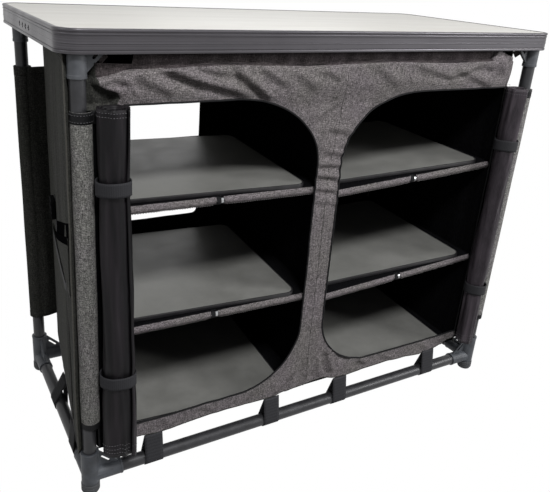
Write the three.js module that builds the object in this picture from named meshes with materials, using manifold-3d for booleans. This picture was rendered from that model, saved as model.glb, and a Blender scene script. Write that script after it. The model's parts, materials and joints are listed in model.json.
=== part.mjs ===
// Camping cupboard: a plug-together tube frame under a rimmed worktop, with a sewn
// fabric body hung between the legs. Millimetres, +Z up, the front faces -Y.
// The feet stand on Z = 0 and the origin is under the middle of the whole cupboard.

import * as THREE from 'three';
import { mergeVertices } from 'three/addons/utils/BufferGeometryUtils.js';
import Module from 'manifold-3d';

const wasm = await Module();
wasm.setup();

// Worktop and its rim
const topWidth = 1000;
const topDepth = 450;
const topHeight = 806;
const rimHeight = 34;
const rimWall = 3;
const rimLipWidth = 6.2;
const rimLipThickness = 1.1;
const rimSeatWidth = 7;
const rimSeatThickness = 1.5;
const rimFootWidth = 6;
const rimRelief = 1.4;
const rimCornerRadius = 35;
const boardThickness = 10;
const boardRebate = 0.6;
const ventWidth = 6;
const ventHeight = 7;
const ventPitch = 24;
const ventCount = 4;
const ventDrop = 15;

// Frame tubes
const legInsetX = 30;
const legInsetY = 22.5;
const tubeDiameter = 24;
const tubeWall = 1.2;
const railAxisHeight = 35;
const shelfTubeDiameter = 12;
const shelfTubeWall = 1;

// Corner fittings and feet
const socketClearance = 0.3;
const upperSocketWall = 1.5;
const upperSocketLength = 53;
const upperPlateThickness = 4;
const upperWebReach = 60;
const lowerHubDiameter = 31;
const lowerHubTop = 88;
const legEngagement = 36;
const railSocketWall = 1.6;
const railSocketReach = 57;
const railEndInset = 18;
const lowerWebReach = 52;
const webThickness = 3;
const webSlotLength = 22;
const webSlotWidth = 4;
const webSlotInset = 7;
const plateCorner = 9;
const footHeight = 20.8;
const footDiameter = 33;
const footTipDiameter = 22;
const footRib = 0.9;
const footStudDiameter = 8;
const footStudLength = 18.5;
const footStudClearance = 0.3;

// Fabric body
const cloth = 2;
const seamGap = 0.3;
const hemHeight = 89;
const bodyTopGap = 1;
const frontOverLeg = 4.5;
const backInset = 11.5;
const leftFrontOverLeg = 1.6;
const leftRearInset = 39;
const rightFrontInset = 61;
const rightRearInset = 36;
const dividerFrontX = -20;
const dividerRearX = 12;
const sleeveDiameter = 34;
const sleeveDrop = 80;
const sleeveBottom = 142;
const sleeveWave = 1.1;
const valanceHeight = 73;
const valanceLeftInset = 21;
const valanceRightInset = 55;
const valanceShoulderDrop = 20;
const valanceShoulderRun = 46;
const valanceFold = 4;
const panelWrinkle = 1.4;
const wallWave = 3;

// Door openings, window and rolled doors
const openingBottom = 121;
const openingInset = 65;
const stripLeftX = -47;
const stripRightX = 5.5;
const archWidth = 170;
const archHeight = 125;
const footArcWidth = 140;
const footArcHeight = 125;
const windowInset = 78;
const windowWidth = 299;
const windowDrop = 77;
const windowHeight = 353;
const windowCorner = 14;
const rollDiameter = 44;
const rollSwell = 4;
const rollLap = 2.4;
const rollDrop = 71;
const rollBottom = 80;
const rollLeftInset = 45;
const rollRightInset = 57;
const rollEndRound = 10;
const strapWidth = 24;
const strapThickness = 1.6;
const upperStrapDrop = 118;
const lowerStrapHeight = 248;

// Shelves
const boardSideRoom = 50.5;
const boardDepthRoom = 43;
const boardForward = 4;
const shelfBoardThickness = 7;
const shelfBoardCorner = 22;
const shelfBoardEdge = 1.2;
const shelfBoardYaw = -4.5;
const floorBoardTop = 100;
const shelfPitch = 219;
const rightShelfTilt = 3;
const rightShelfDrop = 3;
const shelfHem = 1.4;
const hemGapWidth = 18;

// Webbing and side pocket
const loopWidth = 40;
const loopThickness = 1.4;
const loopSlack = 0.9;
const hangerWidth = 20;
const hangerReach = 12;
const hangerLap = 14;
const frontLoopShares = [-0.751, -0.213, 0.151, 0.694];
const rearLoopShares = [-0.723, -0.245, 0.245, 0.723];
const sideLoopShares = [-0.593, 0.123];
const pocketFrontInset = 52.5;
const pocketRearInset = 84.5;
const pocketBottom = 118;
const pocketTop = 392;
const pocketThickness = 3;
const pocketHemHeight = 16;
const buckleWidth = 34;
const buckleHeight = 46;
const buckleThickness = 6;
const buckleWindow = 16;
const buckleWebWidth = 25;
const buckleInset = 70;
const buckleRise = 36;
const buckleDrop = 24;

// Facets and overrun
const tubeSegments = 16;
const smallSegments = 12;
const arcSteps = 8;
const loopSteps = 10;
const rimCornerSteps = 4;
const smallCornerSteps = 3;
const foldSteps = 4;
const cutOverrun = 5;

// Places worked out from the sizes above
const tubeRadius = tubeDiameter / 2;
const legX = topWidth / 2 - legInsetX;
const legY = topDepth / 2 - legInsetY;
const rimBottom = topHeight - rimHeight;
const bodyTop = rimBottom - bodyTopGap;
const frontPlane = legY + frontOverLeg;
const backPlane = legY - backInset;
const leftRearX = leftRearInset - legX;
const rightFrontX = legX - rightFrontInset;
const rightRearX = legX - rightRearInset;
const sleeveTop = bodyTop - sleeveDrop;
const valanceLeftX = valanceLeftInset - legX;
const valanceRightX = legX - valanceRightInset;
const openingTop = bodyTop - valanceHeight;
const openingOuterX = legX - openingInset;
const windowLeftX = windowInset - legX;
const windowTop = bodyTop - windowDrop;
const rollTop = bodyTop - rollDrop;
const rollLeftX = rollLeftInset - legX;
const rollRightX = legX - rollRightInset;
const upperStrapHeight = rollTop - upperStrapDrop;
const shelfBoardDepth = frontPlane + backPlane - boardDepthRoom;
const boardCentreY = (backPlane - frontPlane) / 2 - boardForward;
const boardEdgeTop = topHeight - rimLipThickness - seamGap;
const boardBottom = boardEdgeTop - boardThickness;
const upperPlateTop = boardBottom - seamGap;
const legTop = upperPlateTop - upperPlateThickness - seamGap;
const socketBore = tubeRadius + socketClearance;
const upperSocketRadius = socketBore + upperSocketWall;
const upperPlateBottom = upperPlateTop - upperPlateThickness;
const upperSocketBottom = legTop - upperSocketLength;
const legBottom = lowerHubTop - legEngagement;
const lowerHubRadius = lowerHubDiameter / 2;
const railSocketRadius = socketBore + railSocketWall;
const sleeveRadius = sleeveDiameter / 2;
const rollRadius = rollDiameter / 2;
const strapInner = rollRadius + seamGap;
const rollReach = Math.max(strapInner + strapThickness, rollRadius + rollSwell / 2);
const rollCentreY = -frontPlane - seamGap - rollReach;
const rollFront = -rollCentreY + rollReach;
const backInside = backPlane - cloth;
const frontInside = -(frontPlane - cloth);
const leftFrontX = -(legX + sleeveRadius + cloth / 2 + leftFrontOverLeg);
const hemInner = shelfTubeDiameter / 2 + seamGap;
const hemOuter = hemInner + shelfHem;
const halfTurn = Math.PI;
const quarterTurn = Math.PI / 2;

const corners = {
  front_left: { x: -legX, y: -legY, turn: 0 },
  front_right: { x: legX, y: -legY, turn: quarterTurn },
  rear_right: { x: legX, y: legY, turn: halfTurn },
  rear_left: { x: -legX, y: legY, turn: -quarterTurn },
};

// Finishes
const finish = (color, roughness, metalness = 0) =>
  new THREE.MeshStandardMaterial({ color, roughness, metalness });
const coatedTube = finish(0x3d3d40, 0.4, 0.55);
const mouldedPlastic = finish(0x50545a, 0.55);
const footRubber = finish(0x3b3c3e, 0.8);
const anodisedRim = finish(0x4a484c, 0.38, 0.75);
const paleLaminate = finish(0xe0ded8, 0.45);
const greyBoard = finish(0x6b6b66, 0.6);
const melangeCloth = finish(0x6e696c, 0.95);
const liningCloth = finish(0x17171a, 0.95);
const doorCloth = finish(0x242426, 0.85);
const webbing = finish(0x3c3c3e, 0.9);

const cupboard = new THREE.Group();

function add(name, geometry, material, parent = cupboard) {
  const mesh = new THREE.Mesh(geometry, material);
  mesh.name = name;
  parent.add(mesh);
  return mesh;
}

// A solid for cutting and joining, from a closed geometry
function solidOf(geometry) {
  const bare = geometry.clone();
  bare.deleteAttribute('normal');
  bare.deleteAttribute('uv');
  const merged = mergeVertices(bare);
  const vertProperties = merged.getAttribute('position').array;
  return new wasm.Manifold(new wasm.Mesh({ numProp: 3, vertProperties, triVerts: merged.index.array }));
}

function geometryOf(solid) {
  const mesh = solid.getMesh();
  const geometry = new THREE.BufferGeometry();
  geometry.setAttribute('position', new THREE.BufferAttribute(mesh.vertProperties.slice(), 3));
  geometry.setIndex(new THREE.BufferAttribute(mesh.triVerts.slice(), 1));
  geometry.computeVertexNormals();
  return geometry;
}

const joined = (...geometries) => geometries.map(solidOf).reduce((whole, piece) => whole.add(piece));
const cutFrom = (whole, ...geometries) =>
  geometries.map(solidOf).reduce((rest, piece) => rest.subtract(piece), whole);

// A block by its lowest corner and its sizes
function block(x, y, z, width, depth, height) {
  return new THREE.BoxGeometry(width, depth, height).translate(x + width / 2, y + depth / 2, z + height / 2);
}

function rod(radius, bottom, top, segments = tubeSegments) {
  const height = top - bottom;
  return new THREE.CylinderGeometry(radius, radius, height, segments)
    .rotateX(quarterTurn)
    .translate(0, 0, bottom + height / 2);
}

const alongX = (geometry) => geometry.rotateY(quarterTurn);
const alongY = (geometry) => geometry.rotateX(-quarterTurn);

// A hollow tube standing on Z = 0
function tube(outer, wall, length, segments = tubeSegments) {
  const inner = outer - wall;
  const profile = [[inner, 0], [outer, 0], [outer, length], [inner, length], [inner, 0]];
  return new THREE.LatheGeometry(profile.map(([r, z]) => new THREE.Vector2(r, z)), segments)
    .rotateX(quarterTurn);
}

// An outline in X and Z, extruded in Y between two places
function upright(shape, fromY, toY) {
  return new THREE.ExtrudeGeometry(shape, { depth: toY - fromY, bevelEnabled: false })
    .rotateX(quarterTurn)
    .translate(0, toY, 0);
}

const outline = (points) => new THREE.Shape(points.map(([x, y]) => new THREE.Vector2(x, y)));

// A rectangle about the origin with its corners rounded in even steps
function roundedRectangle(width, depth, radius, steps = smallCornerSteps) {
  const points = [];
  const quarters = [[1, -1], [1, 1], [-1, 1], [-1, -1]];
  quarters.forEach(([sideX, sideY], quarter) => {
    for (let step = 0; step <= steps; step++) {
      const angle = (quarter - 1 + step / steps) * quarterTurn;
      points.push([
        sideX * (width / 2 - radius) + radius * Math.cos(angle),
        sideY * (depth / 2 - radius) + radius * Math.sin(angle),
      ]);
    }
  });
  return outline(points);
}

// Rings of points joined into a closed skin, with end caps unless the rings close on themselves
function loft(rings, closed = false) {
  const count = rings[0].length;
  const positions = rings.flat().flatMap((point) => [point.x, point.y, point.z]);
  const index = [];
  const spans = closed ? rings.length : rings.length - 1;
  for (let ring = 0; ring < spans; ring++) {
    const next = (ring + 1) % rings.length;
    for (let k = 0; k < count; k++) {
      const after = (k + 1) % count;
      const a = ring * count + k;
      const b = ring * count + after;
      const c = next * count + after;
      const d = next * count + k;
      index.push(a, b, c, a, c, d);
    }
  }
  if (!closed) {
    const last = (rings.length - 1) * count;
    for (let k = 1; k < count - 1; k++) {
      index.push(0, k + 1, k, last, last + k, last + k + 1);
    }
  }
  return facingOut(positions, index);
}

// A geometry from points and triangles, turned so that its faces point out
function facingOut(positions, index) {
  let volume = 0;
  const corner = (n) => new THREE.Vector3().fromArray(positions, index[n] * 3);
  for (let n = 0; n < index.length; n += 3) {
    volume += corner(n).dot(corner(n + 1).cross(corner(n + 2)));
  }
  const geometry = new THREE.BufferGeometry();
  geometry.setAttribute('position', new THREE.Float32BufferAttribute(positions, 3));
  geometry.setIndex(volume > 0 ? index : index.reverse());
  geometry.computeVertexNormals();
  return geometry;
}

// A sheet of cloth on a grid: pointAt gives its middle and the thickness runs along across
function sheet(columns, rows, pointAt, across, thickness = cloth) {
  const positions = [];
  for (const side of [-1, 1]) {
    for (let row = 0; row <= rows; row++) {
      for (let column = 0; column <= columns; column++) {
        const point = pointAt(column / columns, row / rows).addScaledVector(across, (side * thickness) / 2);
        positions.push(point.x, point.y, point.z);
      }
    }
  }
  const layer = (columns + 1) * (rows + 1);
  const at = (side, column, row) => side * layer + row * (columns + 1) + column;
  const index = [];
  const quad = (a, b, c, d) => index.push(a, b, c, a, c, d);
  for (let row = 0; row < rows; row++) {
    for (let column = 0; column < columns; column++) {
      quad(at(0, column, row), at(0, column + 1, row), at(0, column + 1, row + 1), at(0, column, row + 1));
      quad(at(1, column, row), at(1, column, row + 1), at(1, column + 1, row + 1), at(1, column + 1, row));
    }
  }
  for (let column = 0; column < columns; column++) {
    quad(at(0, column, 0), at(1, column, 0), at(1, column + 1, 0), at(0, column + 1, 0));
    quad(at(0, column, rows), at(0, column + 1, rows), at(1, column + 1, rows), at(1, column, rows));
  }
  for (let row = 0; row < rows; row++) {
    quad(at(0, 0, row), at(0, 0, row + 1), at(1, 0, row + 1), at(1, 0, row));
    quad(at(0, columns, row), at(1, columns, row), at(1, columns, row + 1), at(0, columns, row + 1));
  }
  return facingOut(positions, index);
}

// The rise of a fold, from 0 to 1, in a run of evenly spaced folds
const ripple = (turns) => 0.5 - 0.5 * Math.cos(2 * halfTurn * turns);
const fade = (value) => THREE.MathUtils.clamp(value, 0, 1);

// Worktop: a laminated board held in an extruded rim, its field raised a little inside the rim's lip
function buildWorktop() {
  const slab = (inset, thickness) => {
    const plan = roundedRectangle(
      topWidth - 2 * inset, topDepth - 2 * inset, rimCornerRadius - inset, rimCornerSteps,
    );
    return new THREE.ExtrudeGeometry(plan, { depth: thickness, bevelEnabled: false })
      .translate(0, 0, boardBottom);
  };
  const board = joined(
    slab(rimWall + seamGap, boardThickness), slab(rimLipWidth + seamGap, boardThickness + boardRebate),
  );
  add('tabletop_board', geometryOf(board), paleLaminate);
  add('tabletop_rim', geometryOf(ventedRim()), anodisedRim);
}

// The rim's section, as distance in from its outer face and height above its foot
function rimSection() {
  const seatTop = boardBottom - rimBottom - seamGap;
  const seatBottom = seatTop - rimSeatThickness;
  const outerShares = [
    [0.5, 0], [0, 0.03], [0, 0.12], [1, 0.15], [0.5, 0.17], [0.5, 0.39], [0, 0.41], [0, 0.43], [0.5, 0.45],
    [0.5, 0.68], [1, 0.7], [1, 0.73], [0.2, 0.75], [0.2, 0.81], [1, 0.83], [1, 0.86], [0.1, 0.89], [0, 0.93],
    [0.5, 0.985], [1.4, 1],
  ];
  const outer = outerShares.map(([inShare, upShare]) => [inShare * rimRelief, upShare * rimHeight]);
  const inner = [
    [rimLipWidth, rimHeight], [rimLipWidth, rimHeight - rimLipThickness],
    [rimWall, rimHeight - rimLipThickness], [rimWall, seatTop], [rimSeatWidth, seatTop],
    [rimSeatWidth, seatBottom], [rimWall, seatBottom], [rimWall, rimSeatThickness],
    [rimFootWidth, rimSeatThickness], [rimFootWidth, 0],
  ];
  return [...outer, ...inner];
}

// The section swept round the plan: each ring is a corner step of plans drawn at every inset
function rim() {
  const section = rimSection();
  const plans = section.map(([inwards]) => roundedRectangle(
    topWidth - 2 * inwards, topDepth - 2 * inwards, rimCornerRadius - inwards, rimCornerSteps,
  ).getPoints());
  const ringCount = 4 * (rimCornerSteps + 1);
  const rings = Array.from({ length: ringCount }, (_, ring) => section.map(
    ([, up], n) => new THREE.Vector3(plans[n][ring].x, plans[n][ring].y, rimBottom + up),
  ));
  return loft(rings, true);
}

// Four short slots through the left end of the rim
function ventedRim() {
  const slots = [];
  for (let n = 0; n < ventCount; n++) {
    const y = (n - (ventCount - 1) / 2) * ventPitch;
    slots.push(block(
      -topWidth / 2 - cutOverrun, y - ventWidth / 2, topHeight - ventDrop - ventHeight,
      cutOverrun + rimWall + rimRelief, ventWidth, ventHeight,
    ));
  }
  return cutFrom(solidOf(rim()), ...slots);
}

// A gusset in X and Z with a strap slot along its sloping edge
function slottedWeb(foot, corner, tip) {
  const half = webThickness / 2;
  const plate = upright(outline([foot, corner, tip]), -half, half);
  const from = new THREE.Vector2(...foot);
  const to = new THREE.Vector2(...tip);
  const middle = from.clone().add(to).multiplyScalar(0.5);
  const along = to.clone().sub(from).normalize();
  const inwards = new THREE.Vector2(...corner).sub(middle).normalize();
  const centre = middle.addScaledVector(inwards, webSlotInset);
  const slot = new THREE.BoxGeometry(webSlotLength, webThickness + cutOverrun, webSlotWidth)
    .rotateY(-Math.atan2(along.y, along.x))
    .translate(centre.x, 0, centre.y);
  return { plate, slot };
}

const turned = (geometry, angle) => geometry.clone().rotateZ(angle);

// Upper fitting: a socket over the leg's top end, a plate under the board and two gussets
function upperFitting() {
  const { plate: web, slot } = slottedWeb(
    [0, upperPlateBottom - upperWebReach], [0, upperPlateBottom], [upperWebReach, upperPlateBottom],
  );
  const flange = new THREE.ExtrudeGeometry(outline([
    [-plateCorner, -plateCorner], [upperWebReach, -plateCorner], [upperWebReach, plateCorner],
    [plateCorner, upperWebReach], [-plateCorner, upperWebReach],
  ]), { depth: upperPlateThickness, bevelEnabled: false }).translate(0, 0, upperPlateBottom);
  const socket = rod(upperSocketRadius, upperSocketBottom, upperPlateTop);
  const webs = joined(web, turned(web, quarterTurn));
  const below = block(
    -tubeDiameter, -tubeDiameter, upperSocketBottom - upperWebReach,
    2 * tubeDiameter, 2 * tubeDiameter, upperWebReach,
  );
  const whole = cutFrom(webs, below).add(joined(flange, socket));
  return cutFrom(
    whole, slot, turned(slot, quarterTurn),
    rod(socketBore, upperSocketBottom - cutOverrun, legTop + seamGap),
  );
}

// Lower fitting: a hub for the leg with two rail sockets, two gussets and a bore for the foot's stud
function lowerFitting() {
  const { plate: web, slot } = slottedWeb(
    [lowerHubRadius - tubeWall, lowerHubTop - tubeWall], [0, railAxisHeight],
    [lowerWebReach, railAxisHeight + tubeRadius],
  );
  const arm = alongX(rod(railSocketRadius, 0, railSocketReach)).translate(0, 0, railAxisHeight);
  const armBore = alongX(rod(socketBore, railEndInset, railSocketReach + cutOverrun))
    .translate(0, 0, railAxisHeight);
  const hub = rod(lowerHubRadius, footHeight, lowerHubTop);
  const whole = joined(hub, arm, turned(arm, quarterTurn), web, turned(web, quarterTurn));
  return cutFrom(
    whole, slot, turned(slot, quarterTurn), armBore, turned(armBore, quarterTurn),
    rod(socketBore, legBottom - seamGap, lowerHubTop + cutOverrun),
    rod(footStudDiameter / 2 + footStudClearance, footHeight - cutOverrun,
      footHeight + footStudLength + seamGap, smallSegments),
  );
}

// Screw foot: a ribbed knob with a rounded tip and a stud up into the fitting
function foot() {
  const outer = footDiameter / 2;
  const tip = footTipDiameter / 2;
  const stud = footStudDiameter / 2;
  const top = footHeight - seamGap;
  const shares = [
    [0.55, 0.06, 1], [0.7, 0.24, 0], [1, 0.27, 1], [1, 0.4, 1], [1, 0.43, 0], [1, 0.47, 0], [1, 0.5, 1],
    [1, 0.63, 1], [1, 0.66, 0], [1, 0.7, 0], [1, 0.73, 1], [1, 0.94, 1], [0.9, 1, 0],
  ];
  const knob = shares.map(([outShare, upShare, rib]) => [
    tip + (outer - footRib - tip) * outShare + rib * footRib, upShare * top,
  ]);
  const profile = [
    [0, 0], [tip, 0], ...knob, [stud, top],
    [stud, footHeight + footStudLength], [0, footHeight + footStudLength],
  ];
  return new THREE.LatheGeometry(profile.map(([r, z]) => new THREE.Vector2(r, z)), smallSegments)
    .rotateX(quarterTurn);
}

function buildFrame() {
  for (const [corner, { x, y, turn }] of Object.entries(corners)) {
    const place = new THREE.Group();
    place.position.set(x, y, 0);
    place.rotation.z = turn;
    cupboard.add(place);
    add(`upper_fitting_${corner}`, geometryOf(upperFitting()), mouldedPlastic, place);
    add(`lower_fitting_${corner}`, geometryOf(lowerFitting()), mouldedPlastic, place);
    add(`foot_${corner}`, foot(), footRubber, place);
    add(`leg_${corner}`, tube(tubeRadius, tubeWall, legTop - legBottom), coatedTube, place)
      .position.z = legBottom;
  }
  const endGap = railEndInset + seamGap;
  const railX = 2 * (legX - endGap);
  const railY = 2 * (legY - endGap);
  for (const [name, side] of [['front', -1], ['rear', 1]]) {
    const rail = alongX(tube(tubeRadius, tubeWall, railX)).translate(-railX / 2, side * legY, railAxisHeight);
    add(`bottom_rail_${name}`, rail, coatedTube);
  }
  for (const [name, side] of [['left', -1], ['right', 1]]) {
    const rail = alongY(tube(tubeRadius, tubeWall, railY)).translate(side * legX, -railY / 2, railAxisHeight);
    add(`bottom_rail_${name}`, rail, coatedTube);
  }
}

// Where the fabric walls stand at a given depth: their middle lines run straight from front to back
const wallX = (frontX, rearX, y) =>
  THREE.MathUtils.mapLinear(y, -frontPlane, backPlane, frontX, rearX);
const walls = {
  left: (y) => wallX(leftFrontX, leftRearX, y),
  divider: (y) => wallX(dividerFrontX, dividerRearX, y),
  right: (y) => wallX(rightFrontX, rightRearX, y),
};

// One door opening: an upright outer side, and arched corners beside the centre strip
function doorOpening(outerX, innerX) {
  const out = Math.sign(outerX - innerX);
  const points = [[outerX, openingBottom]];
  for (let n = 0; n <= arcSteps; n++) {
    const angle = (n / arcSteps) * quarterTurn;
    points.push([
      innerX + out * footArcWidth * (1 - Math.sin(angle)),
      openingBottom + footArcHeight * (1 - Math.cos(angle)),
    ]);
  }
  for (let n = 0; n <= arcSteps; n++) {
    const angle = (n / arcSteps) * quarterTurn;
    points.push([
      innerX + out * archWidth * (1 - Math.cos(angle)),
      openingTop - archHeight * (1 - Math.sin(angle)),
    ]);
  }
  points.push([outerX, openingTop]);
  return upright(outline(points), -frontPlane - valanceFold - cutOverrun, -frontPlane + cutOverrun);
}

// A hanger strap of the fabric body: a flat loop through an upper gusset's slot and round its slope
function hangerLoop(side, fromY, toY) {
  const deepest = webSlotInset + loopThickness / 2;
  const length = deepest + hangerReach;
  const width = toY - fromY;
  const band = new THREE.BoxGeometry(length, width, hangerWidth);
  const eye = new THREE.BoxGeometry(
    length - 2 * loopThickness, width - 2 * loopThickness, hangerWidth + cutOverrun,
  );
  const inwards = (deepest - length / 2) * Math.SQRT1_2;
  const place = (geometry) => geometry.rotateY((-side * quarterTurn) / 2).translate(
    side * (legX - upperWebReach / 2 + inwards),
    (fromY + toY) / 2,
    upperPlateBottom - upperWebReach / 2 + inwards,
  );
  return cutFrom(solidOf(place(band)), place(eye));
}

// The strap's tail in the front panel's own plane, from the gusset's slope to the valance's end
function hangerTail(side, endX) {
  const middle = [side * (legX - upperWebReach / 2), upperPlateBottom - upperWebReach / 2];
  const half = (hangerWidth / 2) * Math.SQRT1_2;
  const sewnX = endX - side * hangerLap;
  const sewnTop = bodyTop - valanceShoulderDrop;
  return upright(outline([
    [middle[0] + side * half, middle[1] - half], [middle[0] - side * half, middle[1] + half],
    [sewnX, sewnTop], [sewnX, sewnTop - hangerWidth],
  ]), -frontPlane, frontInside);
}

// Front panel: valance, centre strip and hem in one cloth, with slack diagonal folds in the valance
function frontPanel() {
  const sleeveEdge = legX - Math.sqrt(sleeveRadius ** 2 - (frontPlane - cloth / 2 - legY) ** 2) - seamGap;
  const foldCount = 7;
  const foldSlantShare = 1.6;
  const stripFoldCount = 9;
  const panelColumns = 26;
  const panelRows = 18;
  const pointAt = (across, up) => {
    const x = THREE.MathUtils.lerp(-sleeveEdge, sleeveEdge, across);
    const z = THREE.MathUtils.lerp(hemHeight, bodyTop, up);
    const rise = fade((z - openingTop) / (bodyTop - openingTop));
    const fold = ripple((across + up * foldSlantShare) * foldCount);
    const slack = valanceFold * Math.sin(halfTurn * rise) * fold;
    const below = Math.abs(x) < openingOuterX ? 1 - fade((z - openingTop) / archHeight) : 0;
    const strip = below * panelWrinkle * ripple(up * stripFoldCount + across);
    return new THREE.Vector3(x, -frontPlane + cloth / 2 - slack - strip, z);
  };
  const panel = solidOf(sheet(panelColumns, panelRows, pointAt, new THREE.Vector3(0, 1, 0)));
  const shoulder = (endX, side) => {
    const beyondX = side * (sleeveEdge + cutOverrun);
    return upright(outline([
      [beyondX, sleeveTop], [endX, sleeveTop], [endX, bodyTop - valanceShoulderDrop],
      [endX - side * valanceShoulderRun, bodyTop + cutOverrun], [beyondX, bodyTop + cutOverrun],
    ]), -frontPlane - valanceFold - cutOverrun, -frontPlane + cutOverrun);
  };
  const cut = cutFrom(
    panel, doorOpening(-openingOuterX, stripLeftX), doorOpening(openingOuterX, stripRightX),
    shoulder(valanceLeftX, -1), shoulder(valanceRightX, 1),
  );
  const loopFront = -legY - webThickness / 2 - seamGap - loopThickness;
  const loopRear = -legY + webThickness / 2 + seamGap + loopThickness;
  return [[-1, valanceLeftX], [1, valanceRightX]].reduce((whole, [side, endX]) => whole
    .add(hangerLoop(side, loopFront, loopRear))
    .add(solidOf(hangerTail(side, endX))), cut);
}

// A fabric wall between the front and back panels, bellied outwards in soft upright waves
function wall(lineX, outwards, waves, fromY, toY) {
  const rows = outwards ? foldSteps : 1;
  const along = new THREE.Vector3(lineX(toY) - lineX(fromY), toY - fromY, 0).normalize();
  const across = new THREE.Vector3(along.y, -along.x, 0);
  const pointAt = (share, up) => {
    const y = THREE.MathUtils.lerp(fromY, toY, share);
    const z = THREE.MathUtils.lerp(hemHeight, bodyTop, up);
    const swell = outwards * wallWave * ripple(share * waves) * Math.sin(halfTurn * up);
    return new THREE.Vector3(lineX(y), y, z).addScaledVector(across, swell);
  };
  return sheet(outwards ? foldSteps * waves : 1, rows, pointAt, across);
}

// A webbing loop round a rail along X: a teardrop whose two layers meet just under the hem
function railLoop(hemY, hemZ) {
  const tipHalf = loopThickness * Math.abs(Math.cos(Math.atan2(hemZ - railAxisHeight, hemY)));
  const rise = hemZ - railAxisHeight - tipHalf;
  const reach = Math.hypot(hemY, rise);
  const slant = Math.atan2(rise, hemY);
  const arc = (radius) => {
    const wrap = Math.acos(radius / reach);
    return Array.from({ length: loopSteps + 1 }, (_, n) => {
      const angle = THREE.MathUtils.lerp(slant + wrap, slant + 2 * halfTurn - wrap, n / loopSteps);
      return [radius * Math.cos(angle), radius * Math.sin(angle)];
    });
  };
  const tip = (share, half) => [
    share * hemY - half * Math.sin(slant), share * rise + half * Math.cos(slant),
  ];
  const inner = tubeRadius + loopSlack;
  const neckShare = 0.9;
  const shape = outline([
    ...arc(inner + loopThickness), tip(1, -loopThickness), tip(1, loopThickness),
  ]);
  const eye = [...arc(inner), tip(neckShare, 0)].map(([y, z]) => new THREE.Vector2(y, z));
  shape.holes.push(new THREE.Path(eye));
  return new THREE.ExtrudeGeometry(shape, { depth: loopWidth, bevelEnabled: false })
    .applyMatrix4(new THREE.Matrix4().makeBasis(
      new THREE.Vector3(0, 1, 0), new THREE.Vector3(0, 0, 1), new THREE.Vector3(1, 0, 0),
    ))
    .translate(-loopWidth / 2, 0, railAxisHeight);
}

function buildBody() {
  add('front_panel', geometryOf(frontPanel()), melangeCloth);
  const wallFront = frontInside + seamGap;
  const wallRear = backInside - seamGap;

  const foldCount = 3;
  add('side_wall_left', wall(walls.left, -1, foldCount, -legY, wallRear), melangeCloth);
  add('side_wall_right', wall(walls.right, 1, foldCount, wallFront, wallRear), melangeCloth);
  add('divider_wall', wall(walls.divider, 0, 0, wallFront, wallRear), liningCloth);
  add('back_panel', geometryOf(backPanel()), melangeCloth);

  buildRailLoops();
}

// Webbing loops from each hem round its rail, with the tape under the hem that they are sewn to
function buildRailLoops() {
  const hemUnder = hemHeight - seamGap;
  const front = cloth / 2 - frontPlane;
  const rear = backPlane - cloth / 2;
  const straight = (shares, hemY, railY) => [
    hemTape(shares[0] * legX, hemY, shares.at(-1) * legX, hemY),
    ...shares.map((share) => railLoop(hemY - railY, hemUnder).translate(share * legX, railY, 0)),
  ];
  add('rail_loops_front', geometryOf(joined(...straight(frontLoopShares, front, -legY))), webbing);
  add('rail_loops_rear', geometryOf(joined(...straight(rearLoopShares, rear, legY))), webbing);
  for (const [name, side] of [['left', -1], ['right', 1]]) {
    const places = sideLoopShares.map((share) => share * legY);
    const [tapeFrom, tapeTo] = [places[0], places.at(-1)];
    const line = walls[name];
    const loops = places.map((y) => railLoop(side * legX - line(y), hemUnder)
      .rotateZ(quarterTurn)
      .translate(side * legX, y, 0));
    const tape = hemTape(line(tapeFrom), tapeFrom, line(tapeTo), tapeTo);
    add(`rail_loops_${name}`, geometryOf(joined(tape, ...loops)), webbing);
  }
}

function hemTape(fromX, fromY, toX, toY) {
  const length = Math.hypot(toX - fromX, toY - fromY);
  return block(-cloth / 2, 0, hemHeight - seamGap - loopThickness, cloth, length, loopThickness)
    .rotateZ(-Math.atan2(toX - fromX, toY - fromY))
    .translate(fromX, fromY, 0);
}

// Back panel with the window behind the left compartments
function backPanel() {
  const plan = roundedRectangle(windowWidth, windowHeight, windowCorner);
  const opening = upright(plan, 0, cloth + 2 * cutOverrun)
    .translate(windowLeftX + windowWidth / 2, backInside - cutOverrun, windowTop - windowHeight / 2);
  const foldCount = 3;
  const pointAt = (across, up) => new THREE.Vector3(
    THREE.MathUtils.lerp(leftRearX - cloth / 2, rightRearX + cloth / 2, across),
    backPlane - cloth / 2 + wallWave * ripple(across * foldCount) * Math.sin(halfTurn * up),
    THREE.MathUtils.lerp(hemHeight, bodyTop, up),
  );
  const plain = sheet(foldSteps * foldCount, foldSteps, pointAt, new THREE.Vector3(0, 1, 0));
  return cutFrom(solidOf(plain), opening);
}

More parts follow.
